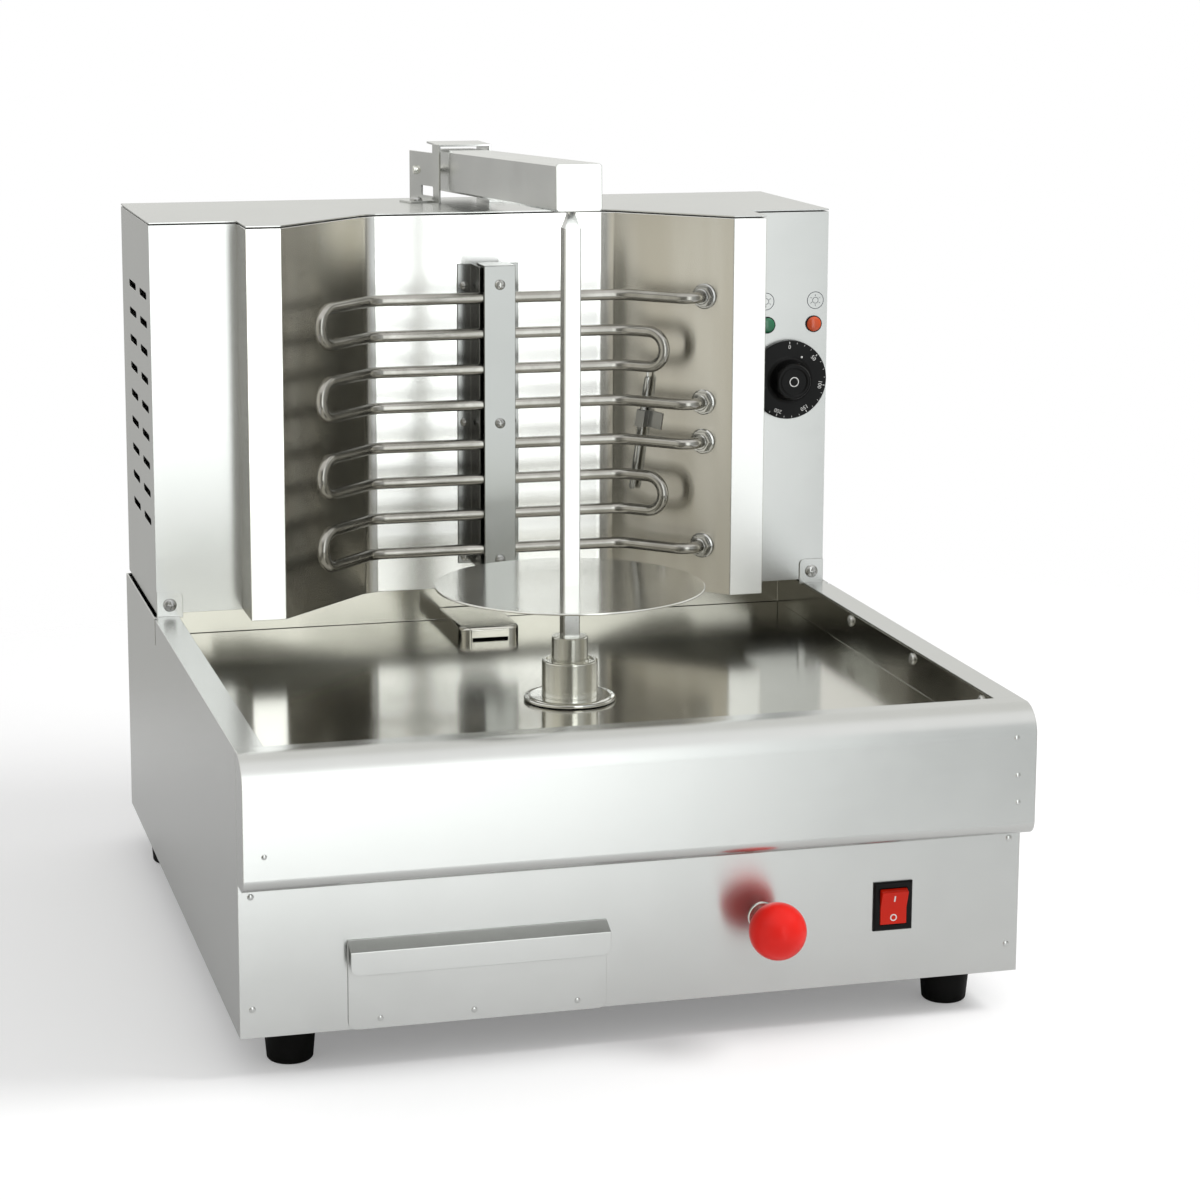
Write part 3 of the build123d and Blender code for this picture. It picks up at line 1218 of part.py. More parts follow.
def build_nodes():
    """Every sub-part by the name of its node."""
    front_foot_y = FRONT_Y + FRONT_FOOT_SETBACK
    rear_foot_y = BACK_Y - REAR_FOOT_BACK_INSET
    return {
        "foot_front_left": foot(-1, FRONT_FOOT_SIDE_INSET, front_foot_y),
        "foot_front_right": foot(1, FRONT_FOOT_SIDE_INSET, front_foot_y),
        "foot_rear_left": foot(-1, REAR_FOOT_SIDE_INSET, rear_foot_y),
        "foot_rear_right": foot(1, REAR_FOOT_SIDE_INSET, rear_foot_y),
        "base_side_left": base_side(-1),
        "base_side_right": base_side(1),
        "base_front_panel": base_front_panel(),
        "base_bottom_plate": base_bottom_plate(),
        "base_back_panel": base_back_panel(),
        "front_apron": front_apron(),
        "drip_tray": drip_tray(),
        "drain_hood": drain_hood(),
        "grease_chute": grease_chute(),
        "upper_shell_left": upper_shell(-1),
        "upper_shell_right": control_shell(),
        "reflector": reflector(),
        "top_cover": top_cover(),
        "upper_floor": upper_floor(),
        "upper_back_panel": upper_back_panel(),
        "heating_element_upper": heating_element(UPPER_TUBE_Z),
        "heating_element_lower": heating_element(LOWER_TUBE_Z),
        "element_bosses": element_bosses(),
        "element_channel": element_channel(),
        "element_clamp": element_clamp(),
        "capillary_bulb": capillary_bulb(),
        "capillary_clip": capillary_clip(),
        "thermostat_body": thermostat_body(),
        "thermostat_stem": thermostat_stem(),
        "thermostat_knob": thermostat_knob(),
        "lamp_green": lamp(LAMP_XS[0]),
        "lamp_orange": lamp(LAMP_XS[1]),
        "switch_frame": switch_frame(),
        "switch_rocker": switch_rocker(),
        "guide_rods": guide_rods(),
        "rail_brackets": rail_brackets(),
        "drive_carriage": drive_carriage(),
        "gear_motor": gear_motor(),
        "pull_rod": pull_rod(),
        "ball_knob": ball_knob(),
        "rod_bush": rod_bush(),
        "seal_disc": seal_disc(),
        "drive_socket": drive_socket(),
        "skewer": skewer(),
        "meat_plate": meat_plate(),
        "support_arm": support_arm(),
        "arm_end_cap": arm_end_cap(),
        "saddle_bracket": saddle_bracket(),
        "arm_hinge_pin": arm_hinge_pin(),
        "drawer_box": drawer_box(),
        "drawer_front": drawer_front(),
        "drawer_runners": drawer_runners(),
        "cable_gland": cable_gland(),
        "terminal_block": terminal_block(),
    }


os.makedirs("parts", exist_ok=True)
for name, shape in build_nodes().items():
    export_step(shape, f"parts/{name}.step")
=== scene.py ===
"""Dressed scene of an electric doner kebab grill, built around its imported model.

Shapes are modelled in millimetres in the model's own frame: X to the right, the front faces -Y, Z is up
and the floor is Z = 0. A piece is brought to metres when it is published.
"""

import json
import logging
from collections.abc import Callable
from dataclasses import dataclass
from enum import Enum
from math import atan2, cos, pi, radians, sin, sqrt, tan

import bmesh
import bpy
from mathutils import Matrix, Vector

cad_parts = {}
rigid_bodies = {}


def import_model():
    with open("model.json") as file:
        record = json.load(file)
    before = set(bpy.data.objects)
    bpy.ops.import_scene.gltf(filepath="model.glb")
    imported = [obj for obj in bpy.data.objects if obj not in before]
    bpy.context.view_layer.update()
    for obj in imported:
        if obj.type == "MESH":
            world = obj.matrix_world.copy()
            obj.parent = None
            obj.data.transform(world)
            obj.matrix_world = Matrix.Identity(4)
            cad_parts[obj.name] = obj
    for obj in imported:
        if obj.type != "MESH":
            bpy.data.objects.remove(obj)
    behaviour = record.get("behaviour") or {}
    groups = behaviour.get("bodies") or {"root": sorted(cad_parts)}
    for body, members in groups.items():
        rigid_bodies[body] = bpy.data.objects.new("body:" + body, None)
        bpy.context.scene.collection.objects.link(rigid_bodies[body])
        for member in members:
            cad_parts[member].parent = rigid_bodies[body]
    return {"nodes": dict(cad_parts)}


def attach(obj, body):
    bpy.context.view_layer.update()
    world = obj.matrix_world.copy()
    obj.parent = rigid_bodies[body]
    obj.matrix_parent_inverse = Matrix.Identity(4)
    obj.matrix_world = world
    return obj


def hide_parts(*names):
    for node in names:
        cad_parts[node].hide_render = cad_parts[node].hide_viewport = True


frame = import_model()

log = logging.getLogger("kebab_grill")

MM = 0.001
PRINT = 0.06
BOLD_PRINT = 0.08
Mesh = bmesh.types.BMesh
Socket = bpy.types.NodeSocket
Pair = tuple[float, float]
Triple = tuple[float, float, float]
Colour = Triple
Profile = list[Pair]


class Body(Enum):
    """The bodies that pieces ride on."""

    BASE = "base"
    KNOB = "knob"
    ROCKER = "rocker"
    CARRIAGE = "carriage"
    SPIT = "spit"
    ARM = "arm"
    DRAWER = "drawer"


class Slot(Enum):
    """The record's material slots."""

    CASING = "casing_steel"
    INNER = "inner_steel"
    REFLECTOR = "reflector_steel"
    POLISHED = "polished_steel"
    BAR = "bar_steel"
    SCREW = "screw_steel"
    TUBE = "element_tube"
    RUBBER = "foot_rubber"
    BLACK = "black_plastic"
    RED = "red_gloss"
    GREEN = "green_lens"
    ORANGE = "orange_lens"
    MOTOR = "motor_paint"
    TERMINAL = "terminal_plastic"


class Facing(Enum):
    """Which way a part placed on the object looks: its local X and Z axes."""

    FRONT = ((1, 0, 0), (0, -1, 0))
    BACK = ((-1, 0, 0), (0, 1, 0))
    LEFT = ((0, -1, 0), (-1, 0, 0))
    RIGHT = ((0, 1, 0), (1, 0, 0))
    UP = ((1, 0, 0), (0, 0, 1))

    def at(self, x: float, y: float, z: float) -> Matrix:
        """A place at a point, looking this way."""
        return place(Vector(self.value[0]), Vector(self.value[1]), Vector((x, y, z)))


def place(x_axis: Vector, z_axis: Vector, origin: Vector) -> Matrix:
    """A local frame from two of its axes and its origin.

    Args:
        x_axis: The local X axis.
        z_axis: The local Z axis.
        origin: The local origin.

    Returns:
        The matrix from the local frame to the object's frame.
    """
    x, z = x_axis.normalized(), z_axis.normalized()
    turn = Matrix((x, z.cross(x), z)).transposed()
    return Matrix.Translation(origin) @ turn.to_4x4()


# Node trees
class Graph:
    """Adds nodes to a tree and wires them as it goes."""

    def __init__(self, tree: bpy.types.NodeTree) -> None:
        """Takes the tree to fill."""
        self.tree = tree

    def add(self, kind: str, inputs: dict | None = None, **settings: object) -> bpy.types.Node:
        """Adds one node.

        Args:
            kind: The node's type, without its ShaderNode prefix unless it has none.
            inputs: Values or sockets by input name or index.
            **settings: The node's own settings.

        Returns:
            The new node.
        """
        node = self.tree.nodes.new(kind if kind.startswith("NodeGroup") else "ShaderNode" + kind)
        for name, value in settings.items():
            setattr(node, name, value)
        for key, value in (inputs or {}).items():
            if isinstance(value, Socket):
                self.tree.links.new(value, node.inputs[key])
            else:
                node.inputs[key].default_value = value
        return node

    def math(self, operation: str, first: object, second: object = 0.0, third: object = 0.0) -> Socket:
        """The result of one sum on up to three values or sockets."""
        return self.add("Math", {0: first, 1: second, 2: third}, operation=operation).outputs[0]

    def blend(self, factor: object, first: object, second: object) -> Socket:
        """A colour between two colours."""
        return self.add("Mix", {0: factor, 6: first, 7: second}, data_type="RGBA").outputs[2]

    def ramp(self, value: object, low: float, high: float, start: float, end: float) -> Socket:
        """A value smoothly carried from one range to another and held at its ends."""
        inputs = {"Value": value, "From Min": low, "From Max": high, "To Min": start, "To Max": end}
        return self.add("MapRange", inputs, interpolation_type="SMOOTHSTEP").outputs[0]

    def noise(self, vector: object, scale: float, detail: float, roughness: float = 0.5) -> Socket:
        """A noise value over a vector."""
        inputs = {"Vector": vector, "Scale": scale, "Detail": detail, "Roughness": roughness}
        return self.add("TexNoise", inputs).outputs["Fac"]


def new_group(name: str, inputs: dict[str, object], outputs: tuple[str, ...]) -> tuple[Graph, bpy.types.Node]:
    """Starts a node group with its sockets.

    Args:
        name: The group's name.
        inputs: Its inputs' default values by name; a tuple makes a vector socket.
        outputs: The names of its value outputs.

    Returns:
        The group's graph and its input node.
    """
    tree = bpy.data.node_groups.new(name, "ShaderNodeTree")
    for label, value in inputs.items():
        kind = "NodeSocketVector" if isinstance(value, tuple) else "NodeSocketFloat"
        tree.interface.new_socket(name=label, in_out="INPUT", socket_type=kind).default_value = value
    for label in outputs:
        tree.interface.new_socket(name=label, in_out="OUTPUT", socket_type="NodeSocketFloat")
    graph = Graph(tree)
    return graph, graph.add("NodeGroupInput")


class Effects:
    """The surface effects that several materials share, each a node group built once."""

    def __init__(self) -> None:
        """Builds every group."""
        self.brushing = self._brushing()
        self.clouding = self._clouding()
        # The slight swell of thin sheet, and the fine skin of a moulded surface
        self.waviness = self._unevenness("waviness", 9.0, 0.2, 0.0, 0.5)
        self.moulding = self._unevenness("moulding", 1400.0, 0.01, 2.0, 0.6)

    def _brushing(self) -> bpy.types.NodeTree:
        """Fine parallel lines that run along the sheet, and lengthways on a face that looks sideways."""
        graph, given = new_group("brushing", {"Fineness": (20.0, 1600.0, 1600.0)}, ("Lines",))
        where = graph.add("TexCoord").outputs
        sideways = graph.add("SeparateXYZ", {0: where["Normal"]}).outputs[0]
        sideways = graph.math("GREATER_THAN", graph.math("ABSOLUTE", sideways), 0.7)
        along = given.outputs["Fineness"]
        parts = graph.add("SeparateXYZ", {0: along}).outputs
        swapped = graph.add("CombineXYZ", {0: parts[1], 1: parts[0], 2: parts[2]}).outputs[0]
        fineness = graph.add("Mix", {0: sideways, 4: along, 5: swapped}, data_type="VECTOR").outputs[1]
        spread = graph.add("VectorMath", {0: where["Object"], 1: fineness}, operation="MULTIPLY")
        lines = graph.noise(spread.outputs[0], 1.0, 3.0, 0.65)
        graph.add("NodeGroupOutput", {"Lines": lines})
        return graph.tree

    def _clouding(self) -> bpy.types.NodeTree:
        """Soft patches where a surface has been wiped or touched."""
        graph, given = new_group("clouding", {"Density": 14.0}, ("Patches",))
        where = graph.add("TexCoord").outputs["Object"]
        cloud = graph.noise(where, given.outputs["Density"], 3.0, 0.55)
        graph.add("NodeGroupOutput", {"Patches": graph.ramp(cloud, 0.35, 0.7, 0.0, 1.0)})
        return graph.tree

    def _unevenness(
        self, name: str, density: float, depth: float, detail: float, roughness: float
    ) -> bpy.types.NodeTree:
        """A noise taken as a height in millimetres.

        Args:
            name: The group's name.
            density: Its usual swells along a metre.
            depth: Its usual height.
            detail: The number of finer layers.
            roughness: The strength of those layers.

        Returns:
            The group.
        """
        graph, given = new_group(name, {"Density": density, "Depth": depth}, ("Height",))
        where = graph.add("TexCoord").outputs["Object"]
        swell = graph.noise(where, given.outputs["Density"], detail, roughness)
        graph.add("NodeGroupOutput", {"Height": graph.math("MULTIPLY", swell, given.outputs["Depth"])})
        return graph.tree


def opaque(colour: Colour) -> tuple[float, float, float, float]:
    """A colour with full alpha."""
    return (*colour, 1.0)


class Shader:
    """One material with its Principled shader, ready to be wired."""

    def __init__(self, name: str, effects: Effects) -> None:
        """Makes the material.

        Args:
            name: The material's name.
            effects: The shared node groups.
        """
        self.material = bpy.data.materials.new(name)
        self.material.use_nodes = True
        self.graph = Graph(self.material.node_tree)
        self.effects = effects
        self.surface = self.material.node_tree.nodes["Principled BSDF"]

    def effect(self, group: bpy.types.NodeTree, **inputs: object) -> Socket:
        """The output of one shared effect with its values."""
        return self.graph.add("Group", inputs, node_tree=group).outputs[0]

    def set(self, **sockets: object) -> None:
        """Sets or wires the shader's sockets by name, with underscores for spaces."""
        for label, value in sockets.items():
            socket = self.surface.inputs[label.replace("_", " ")]
            if isinstance(value, Socket):
                self.graph.tree.links.new(value, socket)
            else:
                socket.default_value = value

    def across_grain(self) -> Socket:
        """The direction in which level grain spreads a reflection: up a wall, or along Y on a level sheet."""
        rise = self.graph.add("VectorTransform", {0: (0.0, 0.05, 1.0)}, vector_type="VECTOR")
        rise.convert_from, rise.convert_to = "OBJECT", "WORLD"
        return rise.outputs[0]

    def relief(self, height: Socket) -> None:
        """Bends the surface's normals by a height in millimetres."""
        bump = self.graph.add("Bump", {"Height": height, "Distance": MM, "Strength": 1.0})
        self.set(Normal=bump.outputs[0])


# Finishes
@dataclass(frozen=True)
class Steel:
    """Stainless sheet or bar, from satin brushed to polished."""

    name: str
    tone: Colour
    patch_tone: Colour
    roughness: float
    patch_roughness: float
    fineness: Triple = (20.0, 1600.0, 1600.0)
    line_depth: float = 0.0002
    line_tone: float = 0.012
    wave_density: float = 9.0
    wave_depth: float = 0.12
    patch_density: float = 14.0
    grain: float = 0.8
    swing: float = 0.2

    def shader(self, effects: Effects) -> Shader:
        """Builds the finish as a shader that a kind of steel may add to."""
        shader = Shader(self.name, effects)
        graph = shader.graph
        lines = shader.effect(effects.brushing, Fineness=self.fineness)
        patches = shader.effect(effects.clouding, Density=self.patch_density)
        waves = shader.effect(effects.waviness, Density=self.wave_density, Depth=self.wave_depth)
        tone = graph.blend(patches, opaque(self.tone), opaque(self.patch_tone))
        shade = graph.math("MULTIPLY_ADD", graph.math("SUBTRACT", lines, 0.5), 2 * self.line_tone, 1.0)
        lined = graph.add("VectorMath", {0: tone, "Scale": shade}, operation="SCALE").outputs[0]
        swing = graph.math("MULTIPLY", graph.math("SUBTRACT", lines, 0.5), self.swing * self.roughness)
        rough = graph.math("ADD", swing, graph.ramp(patches, 0.0, 1.0, self.roughness, self.patch_roughness))
        height = graph.math("ADD", waves, graph.math("MULTIPLY", lines, self.line_depth))
        shader.set(Base_Color=lined, Metallic=1.0, Roughness=rough, Anisotropic=self.grain)
        shader.set(Tangent=shader.across_grain())
        shader.relief(height)
        return shader

    def build(self, effects: Effects) -> bpy.types.Material:
        """The finish's material."""
        return self.shader(effects).material


@dataclass(frozen=True)
class ReflectionShadedSteel(Steel):
    """Steel with a painted reflection, darker and warmer, on panels that face each other across the heat."""

    # The tone of the painted reflection on the slanted panels
    painted_reflection_tone: Colour = (0.56, 0.535, 0.47)
    shade_patch_stretch: Triple = (30.0, 30.0, 3.0)

    def build(self, effects: Effects) -> bpy.types.Material:
        """The finish's material."""
        shader = self.shader(effects)
        graph = shader.graph
        turned = graph.add("SeparateXYZ", {0: graph.add("TexCoord").outputs["Normal"]}).outputs
        slant = graph.math("ABSOLUTE", graph.math("MULTIPLY", turned[0], turned[1]))
        where = graph.add("TexCoord").outputs["Object"]
        spread = graph.add("VectorMath", {0: where, 1: self.shade_patch_stretch}, operation="MULTIPLY").outputs[0]
        shade_patches = graph.ramp(graph.noise(spread, 1.0, 2.0), 0.3, 0.75, 0.7, 1.0)
        # Painted reflection: the slanted panels are darkened and warmed, in patches, for the dark
        # surroundings they reflect
        painted_reflection_mask = graph.math("MULTIPLY", graph.ramp(slant, 0.35, 0.5, 0.0, 1.0), shade_patches)
        plain = shader.surface.inputs["Base Color"].links[0].from_socket
        shader.set(Base_Color=graph.blend(painted_reflection_mask, plain, opaque(self.painted_reflection_tone)))
        return shader.material


@dataclass(frozen=True)
class OxidisedTube:
    """The grey sheath of a heating element, lighter where it has been rubbed."""

    name: str
    dark: Colour = (0.34, 0.33, 0.30)
    rubbed: Colour = (0.42, 0.41, 0.38)

    def build(self, effects: Effects) -> bpy.types.Material:
        """The finish's material."""
        shader = Shader(self.name, effects)
        patches = shader.effect(effects.clouding, Density=55.0)
        skin = shader.effect(effects.moulding, Density=900.0, Depth=0.002)
        shader.set(
            Base_Color=shader.graph.blend(patches, opaque(self.dark), opaque(self.rubbed)),
            Metallic=1.0,
            Roughness=shader.graph.ramp(patches, 0.0, 1.0, 0.25, 0.2),
        )
        shader.relief(skin)
        return shader.material


@dataclass(frozen=True)
class Moulded:
    """Rubber, plastic, paint or a lens with its fine moulded skin."""

    name: str
    tone: Colour
    worn_tone: Colour
    roughness: float
    worn_roughness: float
    grain: float = 1400.0
    depth: float = 0.01
    coat: float = 0.0
    glow: float = 0.0
    shine: float = 0.5

    def build(self, effects: Effects) -> bpy.types.Material:
        """The finish's material."""
        shader = Shader(self.name, effects)
        patches = shader.effect(effects.clouding, Density=40.0)
        skin = shader.effect(effects.moulding, Density=self.grain, Depth=self.depth)
        tone = shader.graph.blend(patches, opaque(self.tone), opaque(self.worn_tone))
        rough = shader.graph.ramp(patches, 0.0, 1.0, self.roughness, self.worn_roughness)
        shader.set(Base_Color=tone, Roughness=rough, Coat_Weight=self.coat, Coat_Roughness=0.06)
        shader.set(Specular_IOR_Level=self.shine)
        if self.glow:
            shader.set(Emission_Color=opaque(self.tone), Emission_Strength=self.glow)
        shader.relief(skin)
        return shader.material


class Finish(Enum):
    """Every finish on the object."""

    CASING = Steel("brushed_casing", (0.60, 0.605, 0.59), (0.58, 0.585, 0.57), 0.25, 0.235)
    TRAY = Steel(
        "polished_tray", (0.56, 0.55, 0.50), (0.52, 0.51, 0.46), 0.13, 0.12, line_depth=0.0, line_tone=0.006,
        wave_depth=0.3, grain=0.6, swing=0.05,
    )
    INNER = Steel("plain_inner_sheet", (0.42, 0.42, 0.40), (0.34, 0.34, 0.33), 0.4, 0.38)
    # The reflector's slanted panels carry a painted reflection
    REFLECTOR = ReflectionShadedSteel(
        "reflector_sheet", (0.93, 0.93, 0.91), (0.91, 0.91, 0.89), 0.24, 0.23, line_depth=0.0,
        line_tone=0.006, wave_depth=0.25, grain=0.97, swing=0.05,
    )
    STRIP = Steel("clamp_strip", (0.30, 0.305, 0.295), (0.28, 0.285, 0.275), 0.2, 0.18)
    POLISHED = Steel("polished_steel", (0.72, 0.72, 0.69), (0.68, 0.68, 0.65), 0.1, 0.08, wave_depth=0.05)
    PLATE = Steel("satin_plate", (0.80, 0.80, 0.76), (0.78, 0.78, 0.74), 0.15, 0.14, line_depth=0.0)
    TURNED = Steel(
        "turned_steel", (0.86, 0.86, 0.80), (0.8, 0.8, 0.75), 0.22, 0.2,
        fineness=(900.0, 900.0, 1800.0), wave_depth=0.0, grain=0.9,
    )
    BAR = Steel(
        "drawn_bar", (0.68, 0.685, 0.67), (0.64, 0.645, 0.63), 0.22, 0.19, fineness=(1200.0, 1200.0, 25.0),
        wave_depth=0.05,
    )
    ARM = Steel("square_arm", (0.66, 0.665, 0.645), (0.62, 0.625, 0.61), 0.24, 0.21, wave_depth=0.06)
    SCREW = Steel(
        "screw_steel", (0.60, 0.60, 0.58), (0.46, 0.46, 0.45), 0.2, 0.26, line_depth=0.0, wave_depth=0.0,
        grain=0.0,
    )
    TUBE = OxidisedTube("element_sheath")
    RUBBER = Moulded(
        "foot_rubber", (0.004, 0.004, 0.0035), (0.006, 0.006, 0.0055), 0.62, 0.5, 700.0, 0.02, shine=0.08
    )
    BLACK = Moulded(
        "black_plastic", (0.003, 0.003, 0.003), (0.005, 0.005, 0.005), 0.34, 0.28, 1500.0, 0.008, shine=0.15
    )
    BALL = Moulded(
        "red_ball", (0.82, 0.014, 0.008), (0.76, 0.012, 0.007), 0.3, 0.34, 500.0, 0.004, 0.05, shine=0.25
    )
    ROCKER = Moulded(
        "red_rocker", (0.56, 0.014, 0.003), (0.5, 0.012, 0.003), 0.2, 0.25, 900.0, 0.004, 0.05, 0.08, 0.2
    )
    GREEN = Moulded(
        "green_lens", (0.02, 0.15, 0.07), (0.015, 0.12, 0.055), 0.16, 0.2, 700.0, 0.004, 0.3, 0.06
    )
    ORANGE = Moulded(
        "orange_lens", (0.6, 0.075, 0.012), (0.5, 0.06, 0.01), 0.16, 0.2, 700.0, 0.004, 0.3, 0.08
    )
    WHITE = Moulded("white_print", (0.78, 0.78, 0.76), (0.7, 0.7, 0.68), 0.5, 0.55, 1500.0, 0.004)
    GREY_PRINT = Moulded("grey_print", (0.08, 0.09, 0.10), (0.11, 0.12, 0.13), 0.5, 0.55, 1500.0, 0.004)
    MOTOR = Moulded("motor_paint", (0.2, 0.21, 0.22), (0.16, 0.165, 0.17), 0.4, 0.48, 350.0, 0.02)
    TERMINAL = Moulded("terminal_plastic", (0.7, 0.68, 0.58), (0.62, 0.6, 0.5), 0.45, 0.5)


class Palette:
    """Builds each finish's material when it is first asked for."""

    def __init__(self) -> None:
        """Starts with the shared effects and no material."""
        self.effects = Effects()
        self.made: dict[Finish, bpy.types.Material] = {}

    def material(self, finish: Finish) -> bpy.types.Material:
        """The material of a finish."""
        if finish not in self.made:
            self.made[finish] = finish.value.build(self.effects)
        return self.made[finish]


# Shapes used again and again
def lathe(profile: Profile, steps: int = 64) -> Mesh:
    """A shape turned about Z.

    Args:
        profile: Points of (radius, height) from one end to the other; the same first and last point close it.
        steps: Sides round the axis.

    Returns:
        The mesh.
    """
    mesh = bmesh.new()
    looped = profile[0] == profile[-1]
    points = [mesh.verts.new((radius, 0, height)) for radius, height in (profile[:-1] if looped else profile)]
    lines = [mesh.edges.new(pair) for pair in zip(points, points[1:])]
    if looped:
        lines.append(mesh.edges.new((points[-1], points[0])))
    bmesh.ops.spin(
        mesh, geom=points + lines, cent=(0, 0, 0), axis=(0, 0, 1), dvec=(0, 0, 0), angle=2 * pi, steps=steps,
        use_merge=True, use_duplicate=False,
    )
    bmesh.ops.remove_doubles(mesh, verts=mesh.verts, dist=1e-4)
    bmesh.ops.recalc_face_normals(mesh, faces=mesh.faces)
    return mesh


def round_off(
    mesh: Mesh, edges: list[bmesh.types.BMEdge], width: float, segments: int, clamp: bool = False,
) -> None:
    """Rounds some of a mesh's edges.

    Args:
        mesh: The mesh, which is changed.
        edges: The edges to round.
        width: The rounding's width.
        segments: Faces across the rounding.
        clamp: Whether the width gives way where edges lie close together.
    """
    bmesh.ops.bevel(
        mesh, geom=edges, offset=width, segments=segments, profile=0.5, affect="EDGES", clamp_overlap=clamp,
        material=-1,
    )


def cut(mesh: Mesh, point: Vector, normal: Vector, clear: bool = False) -> None:
    """Cuts a mesh's faces along a plane.

    Args:
        mesh: The mesh, which is changed.
        point: A point of the plane.
        normal: The plane's normal.
        clear: Whether what lies behind the plane goes.
    """
    geometry = mesh.verts[:] + mesh.edges[:] + mesh.faces[:]
    bmesh.ops.bisect_plane(mesh, geom=geometry, plane_co=point, plane_no=normal, dist=1e-4, clear_inner=clear)


def ease(mesh: Mesh, width: float, segments: int = 2, angle: float = 28.0) -> Mesh:
    """Rounds a mesh's sharp edges.

    Args:
        mesh: The mesh, which is changed.
        width: The rounding's width.
        segments: Faces across the rounding.
        angle: The least angle of an edge that is rounded, in degrees.

    Returns:
        The same mesh.
    """
    sharp = [e for e in mesh.edges if len(e.link_faces) == 2 and e.calc_face_angle() > radians(angle)]
    round_off(mesh, sharp, width, segments, True)
    return mesh


def moved(mesh: Mesh, where: Matrix) -> Mesh:
    """The same mesh, taken to a place."""
    bmesh.ops.transform(mesh, matrix=where, verts=mesh.verts)
    return mesh


def joined(*meshes: Mesh) -> Mesh:
    """One mesh from several, which are freed."""
    whole = meshes[0]
    for other in meshes[1:]:
        part = bpy.data.meshes.new("part")
        other.to_mesh(part)
        other.free()
        whole.from_mesh(part)
        bpy.data.meshes.remove(part)
    return whole


def repeated(template: Mesh, places: list[Matrix]) -> Mesh:
    """Copies of one mesh at several places, as one mesh.

    Args:
        template: The mesh to repeat, which is freed.
        places: Where the copies go.

    Returns:
        The mesh of all the copies.
    """
    whole = bmesh.new()
    for where in places:
        copy = bpy.data.meshes.new("copy")
        template.to_mesh(copy)
        copy.transform(where)
        whole.from_mesh(copy)
        bpy.data.meshes.remove(copy)
    template.free()
    return whole


def hexagon(radius: float, height: float, bevel: float = 0.5) -> Mesh:
    """A six-sided nut standing on its base, with its top edges eased."""
    mesh = bmesh.new()
    bmesh.ops.create_cone(
        mesh, cap_ends=True, segments=6, radius1=radius, radius2=radius, depth=height,
        matrix=Matrix.Translation((0, 0, height / 2)),
    )
    return ease(mesh, bevel)


def washer(inner: float, outer: float, top: float, steps: int = 48, low: float = 0) -> Mesh:
    """A ring about Z, between two radii and two heights."""
    return lathe([(inner, low), (outer, low), (outer, top), (inner, top), (inner, low)], steps)


def bent_tube(points: list[Vector], bends: list[float], radius: float, sides: int = 20) -> Mesh:
    """A round bar that runs straight between its corners and turns smoothly at each.

    Args:
        points: The run's corners with its two ends.
        bends: The bend radius at each inner point.
        radius: The bar's radius.
        sides: Sides round the bar.

    Returns:
        The mesh.
    """
    mesh = bmesh.new()
    here = points[0]
    turn = (points[1] - here).to_track_quat("Z", "Y").to_matrix().to_4x4()
    bmesh.ops.create_circle(
        mesh, cap_ends=False, radius=radius, segments=sides, matrix=Matrix.Translation(here) @ turn
    )
    ring = list(mesh.edges)
    for before, corner, after, bend in zip(points, points[1:], points[2:], bends):
        ahead, aside = (corner - before).normalized(), (after - corner).normalized()
        angle = ahead.angle(aside)
        trim = bend * tan(angle / 2)
        start = corner - ahead * trim
        ring = run_on(mesh, ring, start - here)
        centre = start + (aside - ahead * ahead.dot(aside)).normalized() * bend
        ends = list({vertex for edge in ring for vertex in edge.verts})
        swept = bmesh.ops.spin(
            mesh, geom=ends + ring, cent=centre, axis=ahead.cross(aside).normalized(), dvec=(0, 0, 0),
            angle=angle, steps=max(4, round(angle / radians(9))), use_merge=False, use_duplicate=False,
        )
        ring = [e for e in swept["geom_last"] if isinstance(e, bmesh.types.BMEdge)]
        here = corner + aside * trim
    run_on(mesh, ring, points[-1] - here)
    bmesh.ops.holes_fill(mesh, edges=[e for e in mesh.edges if e.is_boundary], sides=0)
    bmesh.ops.recalc_face_normals(mesh, faces=mesh.faces)
    return mesh


def run_on(mesh: Mesh, ring: list[bmesh.types.BMEdge], step: Vector) -> list[bmesh.types.BMEdge]:
    """Carries an open ring of edges straight on and returns the new ring."""
    made = bmesh.ops.extrude_edge_only(mesh, edges=ring)["geom"]
    bmesh.ops.translate(mesh, vec=step, verts=[v for v in made if isinstance(v, bmesh.types.BMVert)])
    return [e for e in made if isinstance(e, bmesh.types.BMEdge)]


def numeral(text: str, height: float, where: Matrix, proud: float = PRINT) -> Mesh:
    """Printed figures as a thin mesh.

    Args:
        text: What is printed.
        height: The size of the figures.
        where: Their centre, looking out of the surface.
        proud: Their thickness.

    Returns:
        The mesh.
    """
    curve = bpy.data.curves.new(type="FONT", name="numeral")
    curve.body, curve.size, curve.extrude = text, height, proud / 2
    curve.align_x, curve.align_y = "CENTER", "CENTER"
    curve.resolution_u = 3
    holder = bpy.data.objects.new("numeral", curve)
    flat = bpy.data.meshes.new_from_object(holder)
    flat.transform(where)
    mesh = bmesh.new()
    mesh.from_mesh(flat)
    for used, store in ((holder, bpy.data.objects), (curve, bpy.data.curves), (flat, bpy.data.meshes)):
        store.remove(used)
    return mesh


def slab(width: float, height: float, depth: float, where: Matrix) -> Mesh:
    """A flat bar centred on a place, its base on the surface there."""
    mesh = bmesh.new()
    bmesh.ops.create_cube(mesh, size=1.0, matrix=Matrix.Diagonal((width, height, depth, 1)))
    return moved(ease(mesh, min(width, height, depth) / 5), where @ Matrix.Translation((0, 0, depth / 2)))


